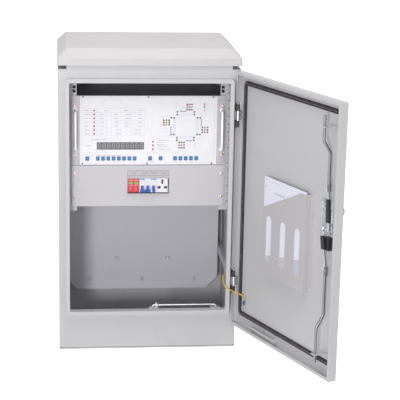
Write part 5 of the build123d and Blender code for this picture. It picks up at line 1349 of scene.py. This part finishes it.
@dataclass
class DoorFittings:
    """What the door carries: gasket, document pocket, lock, rods and earth stud."""

    zinc: dict[str, float] = field(
        default_factory=lambda: {
            "lock_plate": 0.3,
            "handle_rose": 0.3,
            "lock_cam": 0.3,
            "spindle_nut": 0.4,
            "release_arm": 0.3,
            "upper_link": 0.3,
            "lower_link": 0.3,
            "door_earth_stud": 0.3,
            "body_earth_stud": 0.3,
            "stay_bracket": 0.2,
            "stay_clip": 0.2,
        }
    )
    gasket_middle: float = 25.5
    gasket_heights: Spot = (125.0, 872.5)
    door_width: float = 564.0
    sleeve_foot: float = 160.4

    def lug_skin(self, centre: Vector) -> Finish:
        """Blue on the crimp's sleeve and plated on its ring."""
        return TERMINAL if centre.z > self.sleeve_foot else ZINC

    def gasket(self) -> None:
        """Sweeps the ribbed foam strip round the door, with a lighter strip along its middle crest
        as painted highlight.
        """
        half, deep, rib = 7.0, 5.7, 0.7
        profile = [(-half, 0.0), (half, 0.0), (half, deep - 1.6)]
        for number in range(3):
            middle = half * (0.64 - 0.64 * number)
            profile += [(middle + 1.5, deep - rib), (middle + 0.7, deep), (middle - 0.7, deep)]
            profile += [(middle - 1.5, deep - rib)]
        profile += [(-half, deep - 1.6)]
        left, right = self.gasket_middle, self.door_width - self.gasket_middle
        low, high = self.gasket_heights
        corners = [(left, low, 0), (right, low, 0), (right, high, 0), (left, high, 0)]
        # A lighter strip on the middle rib's crest is painted highlight.
        low_edge, high_edge = deep - 1.4, deep + 0.05
        crest = [(-1.0, low_edge), (1.0, low_edge), (1.0, high_edge), (-1.0, high_edge)]
        upright = Matrix(((1, 0, 0, 0), (0, 0, 1, 24.0), (0, 1, 0, 0), (0, 0, 0, 1)))
        strips = []
        for name, section, finish in (
            ("ribbed_gasket", profile, GASKET),
            ("gasket_crest", crest, GASKET_CREST_HIGHLIGHT),
        ):
            mesh = Sweeper().make(corners, section, 10.0, finish)
            mesh.transform(Side.DOOR.place @ upright)
            shape = bmesh.new()
            shape.from_mesh(mesh)
            bmesh.ops.recalc_face_normals(shape, faces=shape.faces)
            shape.to_mesh(mesh)
            shape.free()
            crease(mesh, 50.0)
            strips.append(stand(mesh, name, finish, "door"))
        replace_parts(strips[0], "door_gasket")

    def nuts(self) -> None:
        """Sets a domed nut on each link's eye and two on the release arm."""
        profile = [(0, -4.3), (2.4, -4.1), (3.0, -3.4), (4.2, -3.1), (4.2, 0.05)]
        for name, body, seat, spots in (
            ("upper_eye_nut", "upper_link", 1.9, [(513.0, 647.0)]),
            ("lower_eye_nut", "lower_link", 1.9, [(513.0, 414.0)]),
            ("arm_nuts", "lock_handle", 8.2, [(491.0, 594.0), (491.0, 577.0)]),
        ):
            nuts = Mould()
            for spot in spots:
                nuts.turned(spot, [(radius, seat + deep) for radius, deep in profile], 6)
            cast(nuts, name, ZINC, body, Side.DOOR, 0.3)

    def papers(self) -> None:
        """Lays the folded drawings in the pocket, with marks on the front one, a painted shade
        line along its fold and painted shadow over its lower part.
        """
        refine("paper_stack", SHEETS, 0.3)
        near, far = 5.14, 5.22
        rule = [(198, 364.0), (392, 400.0), (392, 401.6), (198, 365.6)]
        # The greyer lower part of the front sheet is painted shadow, and the line along the fold
        # is painted shade.
        shaded = [(178, 311), (400, 311), (400, 401.0), (198, 363.6), (178, 360)]
        fold = box_outline(178, 400, 603.0, 603.5)
        staple = [(186.6, 579.4), (187.6, 578.8), (193.8, 585.6), (192.8, 586.2)]
        for name, finish, outline, front in (
            ("paper_rule", RED_INK, rule, near),
            ("paper_panel", PAPER_SHADOW_SHEET, shaded, near + 0.02),
            ("paper_fold", LINE_INK, fold, near),
            ("paper_staple", DULL_STEEL, staple, near - 0.3),
        ):
            cast(Mould().slab(outline, front, far), name, finish, "door", Side.DOOR)
        row = Mould().figures("0000 000000 00000", (264.0, 571.0), 5.0, near)
        cast(row, "paper_figures", TEXT_INK, "door", Side.DOOR)

    def build(self) -> None:
        """Makes every fitting."""
        self.gasket()
        self.papers()
        self.nuts()
        refine("document_pocket", PANEL, 0.3)
        for node, edge in self.zinc.items():
            refine(node, LOCK_ZINC, edge)
        for node in ("upper_rod", "lower_rod"):
            refine(node, RODS, 0.0)
        refine("door_stay", ZINC, 0.0)
        refine("pocket_rivets", NUTS, 0.5)
        for node in ("lock_case", "upper_link_sleeve", "lower_link_sleeve"):
            refine(node, BLACK_PLASTIC, 0.5)
        refine("door_lever", LEVER, 0.8)
        refine("door_lug", TERMINAL, 0.2, self.lug_skin)
        refine("body_lug", ZINC, 0.2)


@dataclass
class EarthLead:
    """The yellow lead from the stud inside the body to the one on the door."""

    radius: float = 2.2
    sides: int = 12
    body_route: tuple[Point, ...] = (
        (264.9, 38.0, 264.0),
        (264.9, 24.0, 255.0),
        (243.0, 4.0, 244.0),
        (238.0, -14.0, 230.0),
        (244.0, -35.0, 215.0),
        (264.0, -40.0, 205.0),
    )
    door_route: tuple[Point, ...] = (
        (40.0, 1.0, 196.0),
        (53.0, 19.0, 189.7),
        (53.0, 19.0, 167.5),
    )

    def line(self) -> list[Vector]:
        """The smooth line that the lead follows.

        Returns:
            Points along it, in the row frame and in metres.
        """
        points = [front_place() @ Vector(point) for point in self.body_route]
        points += [door_place() @ Vector(point) for point in self.door_route]
        curve = bpy.data.curves.new("lead_line", "CURVE")
        curve.dimensions = "3D"
        spline = curve.splines.new("NURBS")
        spline.points.add(len(points) - 1)
        for knot, point in zip(spline.points, points):
            knot.co = (*point, 1)
        spline.order_u = 3
        spline.use_endpoint_u = True
        spline.resolution_u = 16
        return [vertex.co.copy() for vertex in baked(placed("lead_line", curve)).vertices]

    def tube(self, line: Sequence[Vector]) -> bpy.types.Mesh:
        """Draws a closed round tube.

        Args:
            line: the points it follows.

        Returns:
            Its mesh, in the row frame and in metres.
        """
        shape = bmesh.new()
        rings = []
        side = Vector((0, 0, 1))
        for number, point in enumerate(line):
            along = line[min(number + 1, len(line) - 1)] - line[max(number - 1, 0)]
            along.normalize()
            side = (side - along * side.dot(along)).normalized()
            other = along.cross(side)
            ring = []
            for step in range(self.sides):
                angle = step * math.pi / (self.sides / 2)
                offset = side * math.cos(angle) + other * math.sin(angle)
                ring.append(shape.verts.new(point + offset * self.radius * MM))
            rings.append(ring)
        for one, two in zip(rings, rings[1:]):
            for step in range(self.sides):
                after = (step + 1) % self.sides
                shape.faces.new((one[step], one[after], two[after], two[step]))
        shape.faces.new(rings[0][::-1])
        shape.faces.new(rings[-1])
        bmesh.ops.recalc_face_normals(shape, faces=shape.faces)
        mesh = bpy.data.meshes.new("earth_lead_tube")
        shape.to_mesh(mesh)
        shape.free()
        return mesh

    def build(self) -> None:
        """Draws the lead as one tube and puts it in place of the CAD lead."""
        line = self.line()
        mesh = self.tube(line)
        crease(mesh, 50.0)
        mesh.materials.append(LEAD.build())
        piece = placed("earth_lead_tube", mesh)
        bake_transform(piece)
        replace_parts(piece, "earth_lead")


@dataclass
class Studio:
    """The plain white surroundings, the lamps and the camera."""

    camera_spot: Point = (-0.27652, -4.44815, 1.62316)
    yaw: float = 5.8888
    pitch: float = 14.8024
    roll: float = 1.1564
    lens: float = 125.94
    soft_light: float = 0.36
    floor_glow: float = 0.85
    floor_half: float = 14.0

    def camera(self) -> None:
        """Places the camera where the photograph was taken from."""
        yaw, pitch, roll = (math.radians(v) for v in (self.yaw, self.pitch, self.roll))
        level = Vector((math.sin(yaw), math.cos(yaw), 0))
        ahead = level * math.cos(pitch) - Vector((0, 0, math.sin(pitch)))
        right = Vector((math.cos(yaw), -math.sin(yaw), 0))
        up = right.cross(ahead)
        across = right * math.cos(roll) + up * math.sin(roll)
        upward = up * math.cos(roll) - right * math.sin(roll)
        data = bpy.data.cameras.new("camera")
        data.lens = self.lens
        data.sensor_width = 36.0
        data.clip_end = 60.0
        holder = placed("camera", data)
        turned = Matrix((across, upward, -ahead)).transposed().to_4x4()
        holder.matrix_world = Matrix.Translation(self.camera_spot) @ turned
        bpy.context.scene.camera = holder

    def lamp(self, name: str, spot: Point, aim: Point, size: float, power: float) -> None:
        """Hangs a square soft lamp.

        Args:
            name: its name.
            spot: where it hangs.
            aim: the point it faces.
            size: the length of its side in metres.
            power: its strength in watts.
        """
        data = bpy.data.lights.new(name, "AREA")
        data.shape = "SQUARE"
        data.size = size
        data.energy = power
        holder = placed(name, data)
        facing = (Vector(aim) - Vector(spot)).to_track_quat("-Z", "Y")
        holder.matrix_world = Matrix.Translation(spot) @ facing.to_matrix().to_4x4()

    @staticmethod
    def seen_by(tree: bpy.types.NodeTree, *rays: str) -> bpy.types.NodeSocket:
        """A value that is 1 for some kinds of ray and 0 for the others.

        Args:
            tree: the nodes of the world or material.
            rays: the kinds of ray, each an output of Light Path.

        Returns:
            The value's socket.
        """
        path = tree.nodes.new("ShaderNodeLightPath")
        seen = path.outputs[rays[0]]
        for ray in rays[1:]:
            either = tree.nodes.new("ShaderNodeMath")
            either.operation = "MAXIMUM"
            tree.links.new(seen, either.inputs[0])
            tree.links.new(path.outputs[ray], either.inputs[1])
            seen = either.outputs[0]
        return seen

    def world(self) -> None:
        """Makes a world that looks white but lights the cabinet softly."""
        world = bpy.data.worlds.new("surroundings")
        world.use_nodes = True
        tree = world.node_tree
        tree.nodes.clear()
        new, link = tree.nodes.new, tree.links.new
        shown = self.seen_by(tree, "Is Camera Ray", "Is Transmission Ray", "Is Glossy Ray")
        soft, white = new("ShaderNodeBackground"), new("ShaderNodeBackground")
        soft.inputs["Color"].default_value = (0.96, 0.97, 1.0, 1.0)
        soft.inputs["Strength"].default_value = self.soft_light
        white.inputs["Color"].default_value = (1.0, 1.0, 1.0, 1.0)
        mix, out = new("ShaderNodeMixShader"), new("ShaderNodeOutputWorld")
        link(shown, mix.inputs["Fac"])
        link(soft.outputs[0], mix.inputs[1])
        link(white.outputs[0], mix.inputs[2])
        link(mix.outputs[0], out.inputs["Surface"])
        bpy.context.scene.world = world

    def floor(self) -> None:
        """Lays the white floor, which still takes the cabinet's shadow."""
        mesh = bpy.data.meshes.new("floor")
        size, level = self.floor_half, -0.0005
        corners = [(x, z, level) for x, z in box_outline(-size, size, -size, size)]
        mesh.from_pydata(corners, [], [(0, 1, 2, 3)])
        material = bpy.data.materials.new("studio_floor")
        material.use_nodes = True
        tree = material.node_tree
        tree.nodes.clear()
        new, link = tree.nodes.new, tree.links.new
        glow, cloth = new("ShaderNodeEmission"), new("ShaderNodeBsdfDiffuse")
        cloth.inputs["Color"].default_value = (0.8, 0.8, 0.8, 1.0)
        lift = new("ShaderNodeMath")
        lift.operation = "MULTIPLY"
        lift.inputs[1].default_value = self.floor_glow
        link(self.seen_by(tree, "Is Camera Ray", "Is Glossy Ray"), lift.inputs[0])
        link(lift.outputs[0], glow.inputs["Strength"])
        both, out = new("ShaderNodeAddShader"), new("ShaderNodeOutputMaterial")
        link(glow.outputs[0], both.inputs[0])
        link(cloth.outputs[0], both.inputs[1])
        link(both.outputs[0], out.inputs["Surface"])
        mesh.materials.append(material)
        placed("floor", mesh)

    def build(self) -> None:
        """Sets up the studio."""
        bpy.context.scene.view_settings.view_transform = "Standard"
        self.camera()
        self.world()
        self.floor()
        self.lamp("front_lamp", (-1.1, -4.7, 1.1), (0, -0.2, 0.55), 0.6, 80.0)
        self.lamp("left_lamp", (-3.4, -1.8, 1.3), (0.2, -0.3, 0.5), 1.8, 6.0)
        self.lamp("right_lamp", (3.0, -3.6, 1.3), (0.2, -0.3, 0.5), 1.4, 12.0)
        self.lamp("roof_lamp", (0.0, 0.5, 2.9), (0.0, 0.0, 1.0), 1.2, 11.0)
        self.lamp("top_lamp", (-0.1, -1.5, 3.3), (0.0, -0.2, 0.6), 1.4, 30.0)


def main() -> None:
    """Builds the studio and then each sub-assembly."""
    Studio().build()
    EarthLead().build()
    Enclosure().build()
    RackFronts().build()
    Devices().build()
    DoorFittings().build()


if __name__ == "__main__":
    main()
